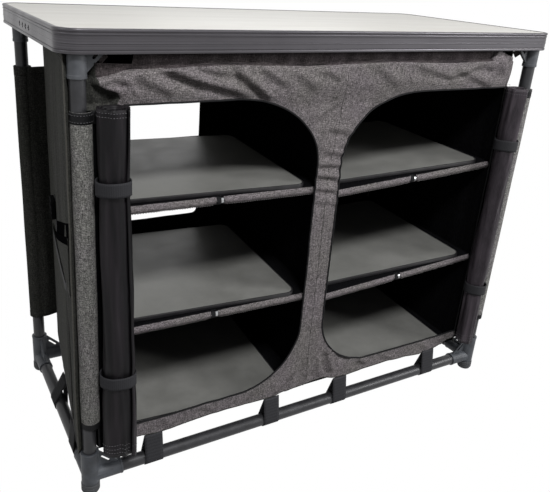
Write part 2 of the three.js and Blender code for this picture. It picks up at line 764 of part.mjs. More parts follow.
// Leg sleeves: cloth tubes with a slight wave, those at the back with a flap to the body's corner
function sleeve(corner) {
  const { x, y } = corners[corner];
  const steps = 7;
  const foldCount = 2;
  const rings = [];
  for (let step = 0; step <= steps; step++) {
    const share = step / steps;
    const z = THREE.MathUtils.lerp(sleeveBottom, sleeveTop, share);
    const ring = [];
    for (let n = 0; n < tubeSegments; n++) {
      const angle = (n / tubeSegments) * 2 * halfTurn;
      const reach = sleeveRadius - sleeveWave * ripple(share * foldCount + (2 * n) / tubeSegments);
      ring.push(new THREE.Vector3(reach * Math.cos(angle), reach * Math.sin(angle), z));
    }
    rings.push(ring);
  }
  const bore = rod(tubeRadius + seamGap, sleeveBottom - cutOverrun, sleeveTop + cutOverrun);
  let whole = solidOf(loft(rings));
  if (y > 0) {
    const side = Math.sign(x);
    const bodyX = side < 0 ? leftRearX - cloth / 2 - seamGap : rightRearX + cloth / 2 + seamGap;
    const startX = side * (sleeveRadius - sleeveWave - cloth);
    const flap = outline([
      [-startX, -cloth], [-startX, 0], [bodyX - x, backPlane - y], [bodyX - x, backPlane - cloth - y],
    ]);
    whole = whole.add(solidOf(
      new THREE.ExtrudeGeometry(flap, { depth: sleeveTop - sleeveBottom, bevelEnabled: false })
        .translate(0, 0, sleeveBottom),
    ));
  }
  return geometryOf(cutFrom(whole, bore)).translate(x, y, 0);
}

// A rolled-up door: rolled cloth with its free edge lapping down the front, drawn in by its straps
function doorRoll(centreX) {
  const stretchSteps = 4;
  const endRoundShares = [0, 0.35, 1];
  const endTuckShare = 0.6;
  const wrinkleCount = 2.5;
  const bellyShare = 0.15;
  const length = rollTop - rollBottom;
  const straps = [lowerStrapHeight, upperStrapHeight];
  const stops = [
    rollBottom + rollEndRound, ...straps.flatMap((z) => [z - strapWidth / 2, z + strapWidth / 2]), rollTop,
  ];
  const heights = endRoundShares.map((share) => rollBottom + share * rollEndRound);
  for (let n = 1; n < stops.length; n++) {
    const steps = n % 2 ? stretchSteps : 1;
    for (let step = 1; step <= steps; step++) {
      heights.push(THREE.MathUtils.lerp(stops[n - 1], stops[n], step / steps));
    }
  }
  const rings = heights.map((z, level) => {
    const fromStrap = Math.min(...straps.map((strap) => Math.abs(z - strap))) - strapWidth / 2;
    const belly = fade(fromStrap / (bellyShare * length));
    const inRound = 1 - (endRoundShares[level] ?? 1);
    const rounded = Math.sqrt(1 - endTuckShare * inRound ** 2);
    return Array.from({ length: tubeSegments }, (_, n) => {
      const turn = n / tubeSegments;
      const angle = turn * 2 * halfTurn - quarterTurn;
      const wrinkle = ripple(((z - rollBottom) / length) * wrinkleCount + turn);
      const swell = (rollSwell / 2) * belly * (1 - wrinkle / 2);
      const reach = (rollRadius + swell - rollLap * turn) * rounded;
      return new THREE.Vector3(
        centreX + reach * Math.cos(angle), rollCentreY + reach * Math.sin(angle), z,
      );
    });
  });
  return loft(rings);
}

function buildSleevesAndDoors() {
  for (const corner of Object.keys(corners)) {
    add(`leg_sleeve_${corner}`, sleeve(corner), melangeCloth);
  }
  for (const [name, centreX] of [['left', rollLeftX], ['right', rollRightX]]) {
    add(`door_roll_${name}`, doorRoll(centreX), doorCloth);
    for (const [level, height] of [['upper', upperStrapHeight], ['lower', lowerStrapHeight]]) {
      const band = tube(strapInner + strapThickness, strapThickness, strapWidth)
        .translate(centreX, rollCentreY, height - strapWidth / 2);
      add(`door_strap_${name}_${level}`, band, webbing);
    }
  }
}

// The plan of a fabric shelf between two walls, clear of the front sleeve that it runs behind
function shelfPlan({ from, to }) {
  const front = frontInside + seamGap;
  const rear = backInside - seamGap;
  const edge = cloth / 2 + seamGap;
  const sleeveInner = -legX + sleeveRadius + seamGap;
  const sleeveBack = -legY + sleeveRadius + seamGap;
  const notch = from(front) < sleeveInner
    ? [[from(sleeveBack) + edge, sleeveBack], [sleeveInner, sleeveBack], [sleeveInner, front]]
    : [[from(front) + edge, front]];
  const plan = outline([
    ...notch, [to(front) - edge, front], [to(rear) - edge, rear], [from(rear) + edge, rear],
  ]);
  const hemRear = front + 2 * hemOuter;
  const left = Math.max(sleeveInner, from(front) + edge, from(hemRear) + edge);
  const right = Math.min(to(front), to(hemRear)) - edge;
  return { plan, front, left, right };
}

// Leans a shelf's pieces about its middle, so that the plane rises towards +X
function lean(geometry, slope, pivotX) {
  const matrix = new THREE.Matrix4().set(1, 0, 0, 0, 0, 1, 0, 0, slope, 0, 1, -slope * pivotX, 0, 0, 0, 1);
  return geometry.applyMatrix4(matrix);
}

function buildShelves() {
  const levels = ['floor', 'middle', 'top'];
  const columns = [
    { name: 'left', from: walls.left, to: walls.divider, tilt: 0, drop: 0 },
    { name: 'right', from: walls.divider, to: walls.right, tilt: rightShelfTilt, drop: rightShelfDrop },
  ];
  const boardRear = boardCentreY + shelfBoardDepth / 2;
  const narrowest = Math.min(...columns.map(({ from, to }) => to(boardRear) - from(boardRear)));
  const boardWidth = narrowest - boardSideRoom;
  for (const column of columns) {
    column.boardX = (column.from(boardCentreY) + column.to(boardCentreY)) / 2;
    levels.forEach((level, n) => {
      const onFloor = n === 0;
      const tilt = THREE.MathUtils.degToRad(onFloor ? 0 : column.tilt);
      const boardTopHere = floorBoardTop + n * shelfPitch - (onFloor ? 0 : column.drop);
      const clothTop = boardTopHere - shelfBoardThickness - seamGap;
      const span = shelfPlan(column);
      const floor = new THREE.ExtrudeGeometry(span.plan, { depth: cloth, bevelEnabled: false })
        .translate(0, 0, clothTop - cloth);
      const place = { ...span, clothTop, tilt };
      const shelf = onFloor ? solidOf(floor) : withHem(solidOf(floor), column, level, place);
      const clothGeometry = lean(geometryOf(shelf), Math.tan(tilt), column.boardX);
      add(`shelf_cloth_${column.name}_${level}`, clothGeometry, liningCloth);
      addBoard(column, level, boardWidth, clothTop + seamGap, tilt);
    });
  }
}

// Gives a shelf's cloth the hem round its front tube, open in the middle, and adds the tube
function withHem(shelf, column, level, { clothTop, front, left, right, tilt }) {
  const axisY = front + hemOuter;
  const axisZ = clothTop - cloth - hemInner;
  const middle = (left + right) / 2;
  const place = (geometry) => geometry.translate(0, axisY, axisZ);
  const hem = place(alongX(rod(hemOuter, left, right, smallSegments)));
  const bore = place(alongX(rod(hemInner, left - cutOverrun, right + cutOverrun, smallSegments)));
  const gap = block(
    middle - hemGapWidth / 2, front - cutOverrun, axisZ - hemOuter - cutOverrun,
    hemGapWidth, 2 * hemOuter + cutOverrun, hemOuter + hemInner + cutOverrun,
  );
  const length = right - left - 2 * seamGap - cloth;
  const tubeGroup = new THREE.Group();
  tubeGroup.position.set(middle, axisY, axisZ + Math.tan(tilt) * (middle - column.boardX));
  tubeGroup.rotation.y = -tilt;
  cupboard.add(tubeGroup);
  add(
    `shelf_tube_${column.name}_${level}`,
    alongX(tube(shelfTubeDiameter / 2, shelfTubeWall, length, smallSegments)).translate(-length / 2, 0, 0),
    coatedTube, tubeGroup,
  );
  return cutFrom(shelf.add(solidOf(hem)), bore, gap);
}

// A loose board lying on a shelf's cloth, a little askew
function addBoard(column, level, width, bottom, tilt) {
  const seat = new THREE.Group();
  seat.position.set(column.boardX, boardCentreY, bottom);
  seat.rotation.y = -tilt;
  cupboard.add(seat);
  const bevel = shelfBoardEdge;
  const shape = roundedRectangle(
    width - 2 * bevel, shelfBoardDepth - 2 * bevel, shelfBoardCorner - bevel,
  );
  const board = new THREE.ExtrudeGeometry(shape, {
    depth: shelfBoardThickness - 2 * bevel, bevelThickness: bevel, bevelSize: bevel, bevelSegments: 1,
  }).translate(0, 0, bevel);
  add(`shelf_board_${column.name}_${level}`, board, greyBoard, seat).rotation.z =
    THREE.MathUtils.degToRad(shelfBoardYaw);
}

// Flat pocket sewn on the outside of the left wall, and the buckle strap above it
function buildPocket() {
  const slope = Math.atan2(leftRearX - leftFrontX, frontPlane + backPlane);
  const seat = new THREE.Group();
  seat.rotation.z = -slope;
  cupboard.add(seat);
  const outside = wallWave + cloth / 2 + seamGap;
  const upAxis = new THREE.Vector3(0, 0, 1);
  const place = (y) => new THREE.Vector3(walls.left(y), y, 0).applyAxisAngle(upAxis, slope);
  const pocketRearY = legY - pocketRearInset;
  const from = place(pocketFrontInset - legY);
  const to = place(pocketRearY);
  const length = to.y - from.y;
  const faceX = from.x - outside;
  const pocket = joined(
    block(faceX - pocketThickness, from.y, pocketBottom, pocketThickness, length, pocketTop - pocketBottom),
    block(
      faceX - pocketThickness - loopThickness, from.y, pocketTop - pocketHemHeight,
      pocketThickness + loopThickness, length, pocketHemHeight,
    ),
  );
  add('side_pocket', geometryOf(pocket), melangeCloth, seat);

  const buckleY = place(pocketRearY - buckleInset).y;
  const buckleCentreZ = pocketTop + buckleRise;
  const strapBottom = pocketTop + seamGap;
  const strapTop = buckleCentreZ + buckleHeight / 2 + buckleDrop;
  const strap = joined(
    block(
      faceX - loopThickness, buckleY - buckleWebWidth / 2, strapBottom,
      loopThickness, buckleWebWidth, strapTop - strapBottom,
    ),
    block(
      faceX - buckleThickness, buckleY - buckleWidth / 2, buckleCentreZ - buckleHeight / 2,
      buckleThickness, buckleWidth, buckleHeight,
    ),
  );
  const eye = block(
    faceX - buckleThickness - cutOverrun, buckleY - buckleWindow / 2, buckleCentreZ - buckleWindow / 2,
    cutOverrun + buckleThickness - loopThickness, buckleWindow, buckleWindow,
  );
  add('side_strap_buckle', geometryOf(cutFrom(strap, eye)), webbing, seat);
}

buildWorktop();
buildFrame();
buildBody();
buildSleevesAndDoors();
buildShelves();
buildPocket();

// The rolled doors stand proud of the rim, so the middle of the whole lies a little in front of the worktop's
cupboard.position.y = (rollFront - topDepth / 2) / 2;

export default cupboard;
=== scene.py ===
# Camping cupboard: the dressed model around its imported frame. Metres, +Z up, the doors face -Y.
import json
import math

import bmesh
import bpy
from mathutils import Matrix, Vector, noise
from mathutils.geometry import intersect_point_line

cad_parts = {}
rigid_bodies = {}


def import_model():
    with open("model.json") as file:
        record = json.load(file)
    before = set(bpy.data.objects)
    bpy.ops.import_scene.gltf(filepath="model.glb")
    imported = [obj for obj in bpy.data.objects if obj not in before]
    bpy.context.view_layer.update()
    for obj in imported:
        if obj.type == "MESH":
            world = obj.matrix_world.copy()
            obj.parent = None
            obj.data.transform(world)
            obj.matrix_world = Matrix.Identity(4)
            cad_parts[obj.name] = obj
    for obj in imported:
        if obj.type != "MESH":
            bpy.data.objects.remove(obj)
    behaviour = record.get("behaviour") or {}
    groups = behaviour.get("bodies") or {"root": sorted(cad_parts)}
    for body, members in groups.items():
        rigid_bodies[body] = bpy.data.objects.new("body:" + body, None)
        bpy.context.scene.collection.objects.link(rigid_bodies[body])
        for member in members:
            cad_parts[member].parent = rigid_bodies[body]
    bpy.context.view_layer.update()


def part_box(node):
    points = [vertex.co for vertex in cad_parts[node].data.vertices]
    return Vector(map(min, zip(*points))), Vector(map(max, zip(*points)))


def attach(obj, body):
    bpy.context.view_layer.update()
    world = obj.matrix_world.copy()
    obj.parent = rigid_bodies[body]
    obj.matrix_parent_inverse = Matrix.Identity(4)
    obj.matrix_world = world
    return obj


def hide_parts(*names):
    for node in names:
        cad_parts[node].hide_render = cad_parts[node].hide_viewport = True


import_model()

mm = 0.001
scene = bpy.context.scene
cornerTurns = {"front_left": 0, "front_right": 90, "rear_right": 180, "rear_left": -90}


def boxCentre(node):
    low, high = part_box(node)
    return (low + high) / 2


# Camera and light

camera = {"place": (-0.6989, -1.0694, 0.8951), "azimuth": 29.85, "drop": 21.0, "roll": 3.66,
          "lens": 41.42, "shift": (0.0594, -0.0659)}


def addCamera():
    azimuth, drop, roll = (math.radians(camera[key]) for key in ("azimuth", "drop", "roll"))
    forward = Vector((math.sin(azimuth) * math.cos(drop), math.cos(azimuth) * math.cos(drop),
                      -math.sin(drop)))
    right = Vector((math.cos(azimuth), -math.sin(azimuth), 0))
    up = right.cross(forward)
    rolledRight = right * math.cos(roll) + up * math.sin(roll)
    rolledUp = up * math.cos(roll) - right * math.sin(roll)
    data = bpy.data.cameras.new("camera")
    data.sensor_width = 36
    data.lens = camera["lens"]
    data.shift_x, data.shift_y = camera["shift"]
    viewer = bpy.data.objects.new("camera", data)
    turn = Matrix((rolledRight, rolledUp, -forward)).transposed().to_4x4()
    viewer.matrix_world = Matrix.Translation(camera["place"]) @ turn
    scene.collection.objects.link(viewer)
    scene.camera = viewer


lamps = {
    "key": {"place": (-0.45, -1.95, 2.75), "aim": (0, -0.1, 0.4), "size": (0.7, 0.5), "power": 73},
    "left": {"place": (-2.6, -0.5, 1.8), "aim": (-0.4, 0, 0.45), "size": (1.0, 1.0), "power": 13},
    "right": {"place": (2.2, -1.9, 1.5), "aim": (0.3, 0, 0.4), "size": (1.0, 1.0), "power": 62},
    "rear": {"place": (1.2, 2.3, 2.1), "aim": (0, 0, 0.4), "size": (1.4, 1.2), "power": 9},
}


def addLamps():
    for name, lamp in lamps.items():
        data = bpy.data.lights.new(name, "AREA")
        data.shape = "RECTANGLE"
        data.size, data.size_y = lamp["size"]
        data.energy = lamp["power"]
        lampObject = bpy.data.objects.new(name, data)
        place = Vector(lamp["place"])
        turn = (place - Vector(lamp["aim"])).to_track_quat("Z", "Y").to_matrix().to_4x4()
        lampObject.matrix_world = Matrix.Translation(place) @ turn
        scene.collection.objects.link(lampObject)


# Materials

def linear(hexColour):
    shares = [int(hexColour[n:n + 2], 16) / 255 for n in (1, 3, 5)]
    return [s / 12.92 if s <= 0.04045 else ((s + 0.055) / 1.055) ** 2.4 for s in shares] + [1]


# Adds a node with its settings, its links and, on a colour ramp, its stops
def addNode(tree, kind, inputs=None, stops=(), **properties):
    node = tree.nodes.new("ShaderNode" + kind)
    for name, value in properties.items():
        setattr(node, name, value)
    for name, value in (inputs or {}).items():
        if isinstance(value, bpy.types.NodeSocket):
            tree.links.new(value, node.inputs[name])
        else:
            node.inputs[name].default_value = value
    if stops:
        elements = node.color_ramp.elements
        while len(elements) < len(stops):
            elements.new(0.5)
        for element, (place, colour) in zip(elements, stops):
            element.position = place
            element.color = linear(colour)
    return node


# Each grain is a noise with its size in millimetres, or one for each axis, its detail and its roughness
def newMaterial(name, roughness, shine, grains=None, metallic=0.0):
    material = bpy.data.materials.new(name)
    material.use_nodes = True
    tree = material.node_tree
    shader = tree.nodes["Principled BSDF"]
    for socket, value in (("Roughness", roughness), ("Specular IOR Level", shine), ("Metallic", metallic)):
        shader.inputs[socket].default_value = value
    where = addNode(tree, "TexCoord").outputs["Object"]
    values = {}
    for key, (size, detail, harsh) in (grains or {}).items():
        if isinstance(size, tuple):
            shares = [1 / (side * mm) for side in size]
            stretched = addNode(tree, "Mapping", {"Vector": where, "Scale": shares}).outputs["Vector"]
            inputs = {"Vector": stretched, "Scale": 1}
        else:
            inputs = {"Vector": where, "Scale": 1 / (size * mm)}
        inputs.update({"Detail": detail, "Roughness": harsh})
        values[key] = addNode(tree, "TexNoise", inputs).outputs["Fac"]
    return material, tree, shader, values


# Gives the shader its colour and its relief, whose depth is in millimetres. Haze is a grain, the value
# it starts from, and the roughness there and at its upper end
def dress(tree, shader, colour, height, depth, strength, haze=None):
    relief = addNode(tree, "Bump", {"Height": height, "Distance": depth * mm, "Strength": strength})
    tree.links.new(colour, shader.inputs["Base Color"])
    tree.links.new(relief.outputs["Normal"], shader.inputs["Normal"])
    if haze:
        grain, start, smooth, dull = haze
        span = addNode(tree, "MapRange", {"Value": grain, "From Min": start, "From Max": 0.7,
                                          "To Min": smooth, "To Max": dull})
        tree.links.new(span.outputs["Result"], shader.inputs["Roughness"])


# Polyester woven from light and dark yarns: fine flecks of both with faint streaks along the warp and
# weft, matt. Its yarns of 0.4 mm are drawn 1.2 mm wide, which is the finest that shows.
def melangeCloth(name, *tones):
    material, tree, shader, grain = newMaterial(name, 0.92, 0.1, {
        "flecks": (1.8, 3, 0.75), "warp": ((1.2, 1.2, 8.4), 2, 0.5), "weft": ((7.2, 7.2, 1.2), 2, 0.5),
        "patches": (70, 3, 0.5)})
    threads = addNode(tree, "Math", {0: grain["warp"], 1: grain["weft"]}, operation="ADD")
    twoFlecks = addNode(tree, "Math", {0: grain["flecks"], 1: 2.0}, operation="MULTIPLY")
    mixed = addNode(tree, "Math", {0: threads.outputs[0], 1: twoFlecks.outputs[0]}, operation="ADD")
    share = addNode(tree, "Math", {0: mixed.outputs[0], 1: 4.0}, operation="DIVIDE")
    stops = list(zip((0.36, 0.46, 0.54, 0.66), tones))
    colour = addNode(tree, "ValToRGB", {"Fac": share.outputs[0]}, stops)
    tint = addNode(tree, "ValToRGB", {"Fac": grain["patches"]}, [(0.35, "#f1f0ec"), (0.65, "#f6f1f4")])
    blend = addNode(tree, "Mix", {"Factor": 1.0, 6: colour.outputs["Color"], 7: tint.outputs["Color"]},
                    data_type="RGBA", blend_type="MULTIPLY")
    dress(tree, shader, blend.outputs[2], share.outputs[0], 0.35, 0.7)
    return material


# Woven polyester of the doors, with a satin face and long lighter streaks down it: painted sheen, with some
# rubbed wear
def doorCloth(name, dark, light, sheenAndWear):
    material, tree, shader, grain = newMaterial(name, 0.5, 0.13, {
        "weave": ((1.2, 1.2, 10), 3, 0.5), "clouds": (60, 3, 0.5), "streaks": ((16, 16, 190), 2, 0.5)})
    tone = addNode(tree, "Math", {0: grain["weave"], 1: grain["clouds"]}, operation="ADD")
    half = addNode(tree, "Math", {0: tone.outputs[0], 1: 0.5}, operation="MULTIPLY")
    colour = addNode(tree, "ValToRGB", {"Fac": half.outputs[0]}, [(0.35, dark), (0.65, light)])
    # The streaks lighten the colour towards a third tone: painted sheen and wear
    share = addNode(tree, "MapRange", {"Value": grain["streaks"], "From Min": 0.48, "From Max": 0.8,
                                       "To Min": 0.0, "To Max": 0.9})
    streaked = addNode(tree, "Mix", {"Factor": share.outputs["Result"], 6: colour.outputs["Color"],
                                     7: linear(sheenAndWear)}, data_type="RGBA")
    dress(tree, shader, streaked.outputs[2], half.outputs[0], 0.6, 0.7)
    return material


# Ribbed polypropylene webbing: ribs across the band, read from the band's own map in metres
def webbing(name, dark, light):
    material, tree, shader, _ = newMaterial(name, 0.8, 0.12)
    band = addNode(tree, "UVMap").outputs["UV"]
    rib = 3.0 * mm       # drawn a little coarser than the real 2 mm, which would not show
    ribs = addNode(tree, "TexWave", {"Vector": band, "Scale": math.pi / (10 * rib), "Distortion": 0.6,
                                     "Detail": 1, "Detail Scale": 3}, bands_direction="Y")
    fuzz = addNode(tree, "TexNoise", {"Vector": band, "Scale": 1 / (1.5 * mm), "Detail": 2})
    tone = addNode(tree, "Mix", {"Factor": 0.8, "A": ribs.outputs["Fac"], "B": fuzz.outputs["Fac"]})
    colour = addNode(tree, "ValToRGB", {"Fac": tone.outputs["Result"]}, [(0.25, dark), (0.75, light)])
    dress(tree, shader, colour.outputs["Color"], tone.outputs["Result"], 0.12, 0.5)
    return material


# Twisted sewing thread
def sewingThread(name, tone):
    material, tree, shader, grain = newMaterial(name, 0.7, 0.5, {"twist": (0.8, 1, 0.5)})
    shade = addNode(tree, "Mix", {"Factor": grain["twist"], 6: linear(tone), 7: linear("#3a3a3c")},
                    data_type="RGBA")
    tree.links.new(shade.outputs[2], shader.inputs["Base Color"])
    return material


# Black coated polyester: the coating leaves it nearly flat, with a faint weave
def liningCloth(name):
    material, tree, shader, grain = newMaterial(name, 0.95, 0.0, {"weave": ((1.5, 1.5, 6), 2, 0.5)})
    colour = addNode(tree, "ValToRGB", {"Fac": grain["weave"]}, [(0.35, "#09090a"), (0.65, "#151517")])
    dress(tree, shader, colour.outputs["Color"], grain["weave"], 0.3, 0.6)
    return material


# Folded polyester binding and piping: smooth, with a dull shine
def bindingTape(name, dark, light, roughness):
    material, tree, shader, grain = newMaterial(name, roughness, 0.12, {"weave": (1.4, 3, 0.5)})
    colour = addNode(tree, "ValToRGB", {"Fac": grain["weave"]}, [(0.35, dark), (0.65, light)])
    dress(tree, shader, colour.outputs["Color"], grain["weave"], 0.25, 0.6)
    return material


# Steel tube with a satin powder coat: even dark grey, a fine orange-peel skin and a few dull scuffs
def coatedSteel(name):
    material, tree, shader, grain = newMaterial(name, 0.5, 0.3, {
        "peel": (1.6, 2, 0.5), "scuffs": (38, 6, 0.7)}, metallic=0.1)
    colour = addNode(tree, "ValToRGB", {"Fac": grain["scuffs"]}, [(0.4, "#29292b"), (0.68, "#343437")])
    dull = (grain["scuffs"], 0.35, 0.34, 0.48)
    dress(tree, shader, colour.outputs["Color"], grain["peel"], 0.08, 0.5, dull)
    return material


# Drawn tube of the shelves: zinc-plated steel that glints in the gap of each hem
def platedSteel(name):
    material, tree, shader, grain = newMaterial(name, 0.24, 0.5, {"drawn": ((30, 0.8, 0.8), 2, 0.5)}, 1.0)
    colour = addNode(tree, "ValToRGB", {"Fac": grain["drawn"]}, [(0.3, "#8c8e90"), (0.7, "#b0b1b2")])
    dress(tree, shader, colour.outputs["Color"], grain["drawn"], 0.05, 0.4)
    return material


# Anodised aluminium extrusion: dark warm grey with fine die lines that run along it at one height
def anodisedRim(name):
    material, tree, shader, grain = newMaterial(name, 0.5, 0.5, {
        "lines": ((400, 400, 0.9), 3, 0.5), "haze": (70, 4, 0.5)}, metallic=0.7)
    colour = addNode(tree, "ValToRGB", {"Fac": grain["lines"]}, [(0.3, "#3c3a3d"), (0.7, "#4d4b4f")])
    dull = (grain["haze"], 0.3, 0.33, 0.44)
    dress(tree, shader, colour.outputs["Color"], grain["lines"], 0.06, 0.5, dull)
    return material


# Glass-filled nylon, injection moulded: slate grey or black with a fine spark-eroded skin
def mouldedNylon(name, dark, light, roughness=0.52, shine=0.3):
    material, tree, shader, grain = newMaterial(name, roughness, shine, {
        "skin": (0.9, 3, 0.5), "flow": (22, 3, 0.5)})
    colour = addNode(tree, "ValToRGB", {"Fac": grain["flow"]}, [(0.35, dark), (0.65, light)])
    dress(tree, shader, colour.outputs["Color"], grain["skin"], 0.12, 0.7)
    return material


# Melamine-faced worktop: pale warm grey with a faint fine grain that runs along it
def paleLaminate(name):
    material, tree, shader, grain = newMaterial(name, 0.46, 0.2, {
        "fine": ((60, 2.2, 30), 5, 0.65), "broad": ((420, 45, 45), 3, 0.5)})
    tone = addNode(tree, "Mix", {"Factor": 0.4, "A": grain["fine"], "B": grain["broad"]})
    colour = addNode(tree, "ValToRGB", {"Fac": tone.outputs["Result"]},
                     [(0.3, "#bab8b2"), (0.5, "#c4c2bd"), (0.7, "#cecdc8")])
    dress(tree, shader, colour.outputs["Color"], grain["fine"], 0.05, 0.5)
    return material


# Grey foil of the shelf boards: even, slightly greenish and satin, with faint handling marks
def greyLaminate(name):
    material, tree, shader, grain = newMaterial(name, 0.5, 0.3, {
        "marks": (55, 5, 0.6), "grit": (1.2, 2, 0.5)})
    colour = addNode(tree, "ValToRGB", {"Fac": grain["marks"]}, [(0.35, "#6c6c69"), (0.65, "#777774")])
    dull = (grain["marks"], 0.3, 0.44, 0.56)
    dress(tree, shader, colour.outputs["Color"], grain["grit"], 0.06, 0.5, dull)
    return material


finishes = {
    "melange": melangeCloth("melange_polyester", "#292728", "#525050", "#757173", "#a09b9d"),
    # The melange darkened: painted shade, for the cloth that stands in shade
    "melangeShaded": melangeCloth("melange_polyester_painted_shade", "#181817", "#2a2b29", "#3d3e3b", "#585955"),
    # A darker melange for the band under the rim: painted shade of the rim's overhang
    "melangeBandShade": melangeCloth("melange_polyester_band_painted_shade", "#1f1d1d", "#332f30", "#474244", "#625b5d"),
    "melangePale": melangeCloth("melange_polyester_pale", "#2b2b2c", "#5a5a59", "#828281", "#bfbfbd"),
    "lining": liningCloth("black_coated_lining"),
    "door": doorCloth("black_door_polyester", "#070608", "#100f11", "#282428"),
    # The door cloth lightened for the right roll: painted light where it catches the lamp
    "doorLit": doorCloth("door_polyester_painted_light", "#1d1a1d", "#383338", "#544d53"),
    "webbing": webbing("ribbed_webbing", "#252527", "#363639"),
    "strap": webbing("grey_ribbed_webbing", "#232325", "#343437"),
    "blackWebbing": webbing("black_ribbed_webbing", "#0c0c0d", "#1d1d1f"),
    "binding": bindingTape("black_binding", "#09090a", "#161618", 0.65),
    "wallEdge": bindingTape("grey_edge_piping", "#3c3b38", "#504f4b", 0.6),
    "paleThread": sewingThread("pale_thread", "#8f8c8b"),
    "greyThread": sewingThread("grey_thread", "#6a686c"),
    "steel": coatedSteel("powder_coated_steel"),
    "plated": platedSteel("zinc_plated_steel"),
    "rim": anodisedRim("anodised_aluminium"),
    "nylon": mouldedNylon("moulded_nylon", "#3d3f43", "#4d4f53"),
    "nylonDark": mouldedNylon("dark_moulded_nylon", "#35373b", "#45484d"),
    "foot": mouldedNylon("moulded_foot", "#38393b", "#46474a", 0.7),
    "edgeBand": mouldedNylon("moulded_edge_band", "#161517", "#222123", 0.45),
    # Matte black plastic of the buckle; on the worktop board's edge behind the vents it is painted shade
    "blackMatteAndVentShade": mouldedNylon("black_matte_plastic_and_vent_painted_shade", "#060607", "#0c0c0d", 0.9, 0.03),
    "laminate": paleLaminate("pale_melamine"),
    "board": greyLaminate("grey_foil_board"),
}
print("materials", len(finishes))


# Shapes shared by several pieces

quarterX = Matrix.Rotation(math.pi / 2, 4, "X")
quarterY = Matrix.Rotation(math.pi / 2, 4, "Y")
quarterZ = Matrix.Rotation(math.pi / 2, 4, "Z")


def makePiece(bm, name, slotName, materials, replaces=(), sharp=38, body="frame"):
    mesh = bpy.data.meshes.new(name)
    bm.to_mesh(mesh)
    bm.free()
    for key in materials:
        mesh.materials.append(finishes[key])
    mesh.shade_smooth()
    mesh.set_sharp_from_angle(angle=math.radians(sharp))
    piece = bpy.data.objects.new(name, mesh)
    scene.collection.objects.link(piece)
    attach(piece, body)
    if replaces:
        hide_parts(*replaces)
    return piece


def thicken(piece, thickness, offset=0.0, innerMaterial=0):
    solid = piece.modifiers.new("thickness", "SOLIDIFY")
    solid.thickness = thickness
    solid.offset = offset
    solid.use_even_offset = False
    solid.material_offset = innerMaterial
    return piece


def softenEdges(piece, width, segments=2, angle=40):
    bevel = piece.modifiers.new("edges", "BEVEL")
    bevel.width = width
    bevel.segments = segments
    bevel.limit_method = "ANGLE"
    bevel.angle_limit = math.radians(angle)
    bevel.use_clamp_overlap = True


def looseObject(data, name):
    holder = bpy.data.objects.new(name, data)
    scene.collection.objects.link(holder)
    return holder


def looseMesh(bm, name):
    mesh = bpy.data.meshes.new(name)
    bm.to_mesh(mesh)
    bm.free()
    return looseObject(mesh, name)


# The shape of a loose object with its modifiers, as bmesh; the objects used for it are removed
def bakedShape(holder, *helpers):
    bpy.context.view_layer.update()
    evaluated = holder.evaluated_get(bpy.context.evaluated_depsgraph_get())
    mesh = bpy.data.meshes.new_from_object(evaluated)
    bm = bmesh.new()
    bm.from_mesh(mesh)
    bpy.data.batch_remove([mesh] + [data for used in (holder, *helpers) for data in (used, used.data)])
    return bm


# Joins a cutter or an addition to a mesh, given and returned as bmesh
def combine(bm, other, operation):
    base, tool = looseMesh(bm, "base"), looseMesh(other, "tool")
    change = base.modifiers.new("combine", "BOOLEAN")
    change.operation = operation
    change.solver = "EXACT"
    change.object = tool
    return bakedShape(base, tool)


def seated(bm, matrix):
    bmesh.ops.transform(bm, matrix=matrix, verts=bm.verts)
    return bm


def merged(*meshes):
    whole = bmesh.new()
    for bm in meshes:
        mesh = bpy.data.meshes.new("part")
        bm.to_mesh(mesh)
        bm.free()
        whole.from_mesh(mesh)
        bpy.data.meshes.remove(mesh)
    return whole


def tidyFaces(bm):
    bmesh.ops.remove_doubles(bm, verts=bm.verts, dist=1e-6)
    bmesh.ops.recalc_face_normals(bm, faces=bm.faces)
    return bm


def vertsOf(geometry):
    return [item for item in geometry if isinstance(item, bmesh.types.BMVert)]


def edgesOf(geometry):
    return [item for item in geometry if isinstance(item, bmesh.types.BMEdge)]


# A profile of radii and heights spun round Z
def lathe(profile, steps=48, closed=False):
    bm = bmesh.new()
    verts = [bm.verts.new((radius, 0, height)) for radius, height in profile]
    edges = [bm.edges.new(pair) for pair in zip(verts, verts[1:])]
    if closed:
        edges.append(bm.edges.new((verts[-1], verts[0])))
    bmesh.ops.spin(bm, geom=verts + edges, cent=(0, 0, 0), axis=(0, 0, 1), angle=math.tau, steps=steps,
                   use_merge=True)
    return tidyFaces(bm)


# A closed section of insets and heights swept round a rounded rectangle about the origin
def sweepRound(section, width, depth, radius, steps):
    bm = bmesh.new()
    verts = [bm.verts.new((radius - width / 2, inset - depth / 2, height)) for inset, height in section]
    edges = [bm.edges.new((verts[n - 1], verts[n])) for n in range(len(verts))]
    for quarter in range(4):
        direction = Matrix.Rotation(quarter * math.pi / 2, 3, "Z") @ Vector((1, 0, 0))
        length = (depth if quarter % 2 else width) - 2 * radius
        made = bmesh.ops.extrude_edge_only(bm, edges=edges)["geom"]
        verts = vertsOf(made)
        moved = set(verts)
        bmesh.ops.translate(bm, verts=verts, vec=direction * length)
        edges = [edge for edge in edgesOf(made) if moved.issuperset(edge.verts)]
        signX = 1 if quarter in (0, 1) else -1
        signY = 1 if quarter in (1, 2) else -1
        centre = (signX * (width / 2 - radius), signY * (depth / 2 - radius), 0)
        spun = bmesh.ops.spin(bm, geom=verts + edges, cent=centre, axis=(0, 0, 1), angle=math.pi / 2,
                              steps=steps)
        edges = edgesOf(spun["geom_last"])
    return tidyFaces(bm)


# Gives a flat outline its height, along one axis
def raiseFace(bm, height):
    made = bmesh.ops.extrude_face_region(bm, geom=bm.faces[:])["geom"]
    bmesh.ops.translate(bm, verts=vertsOf(made), vec=height)
    bmesh.ops.recalc_face_normals(bm, faces=bm.faces)


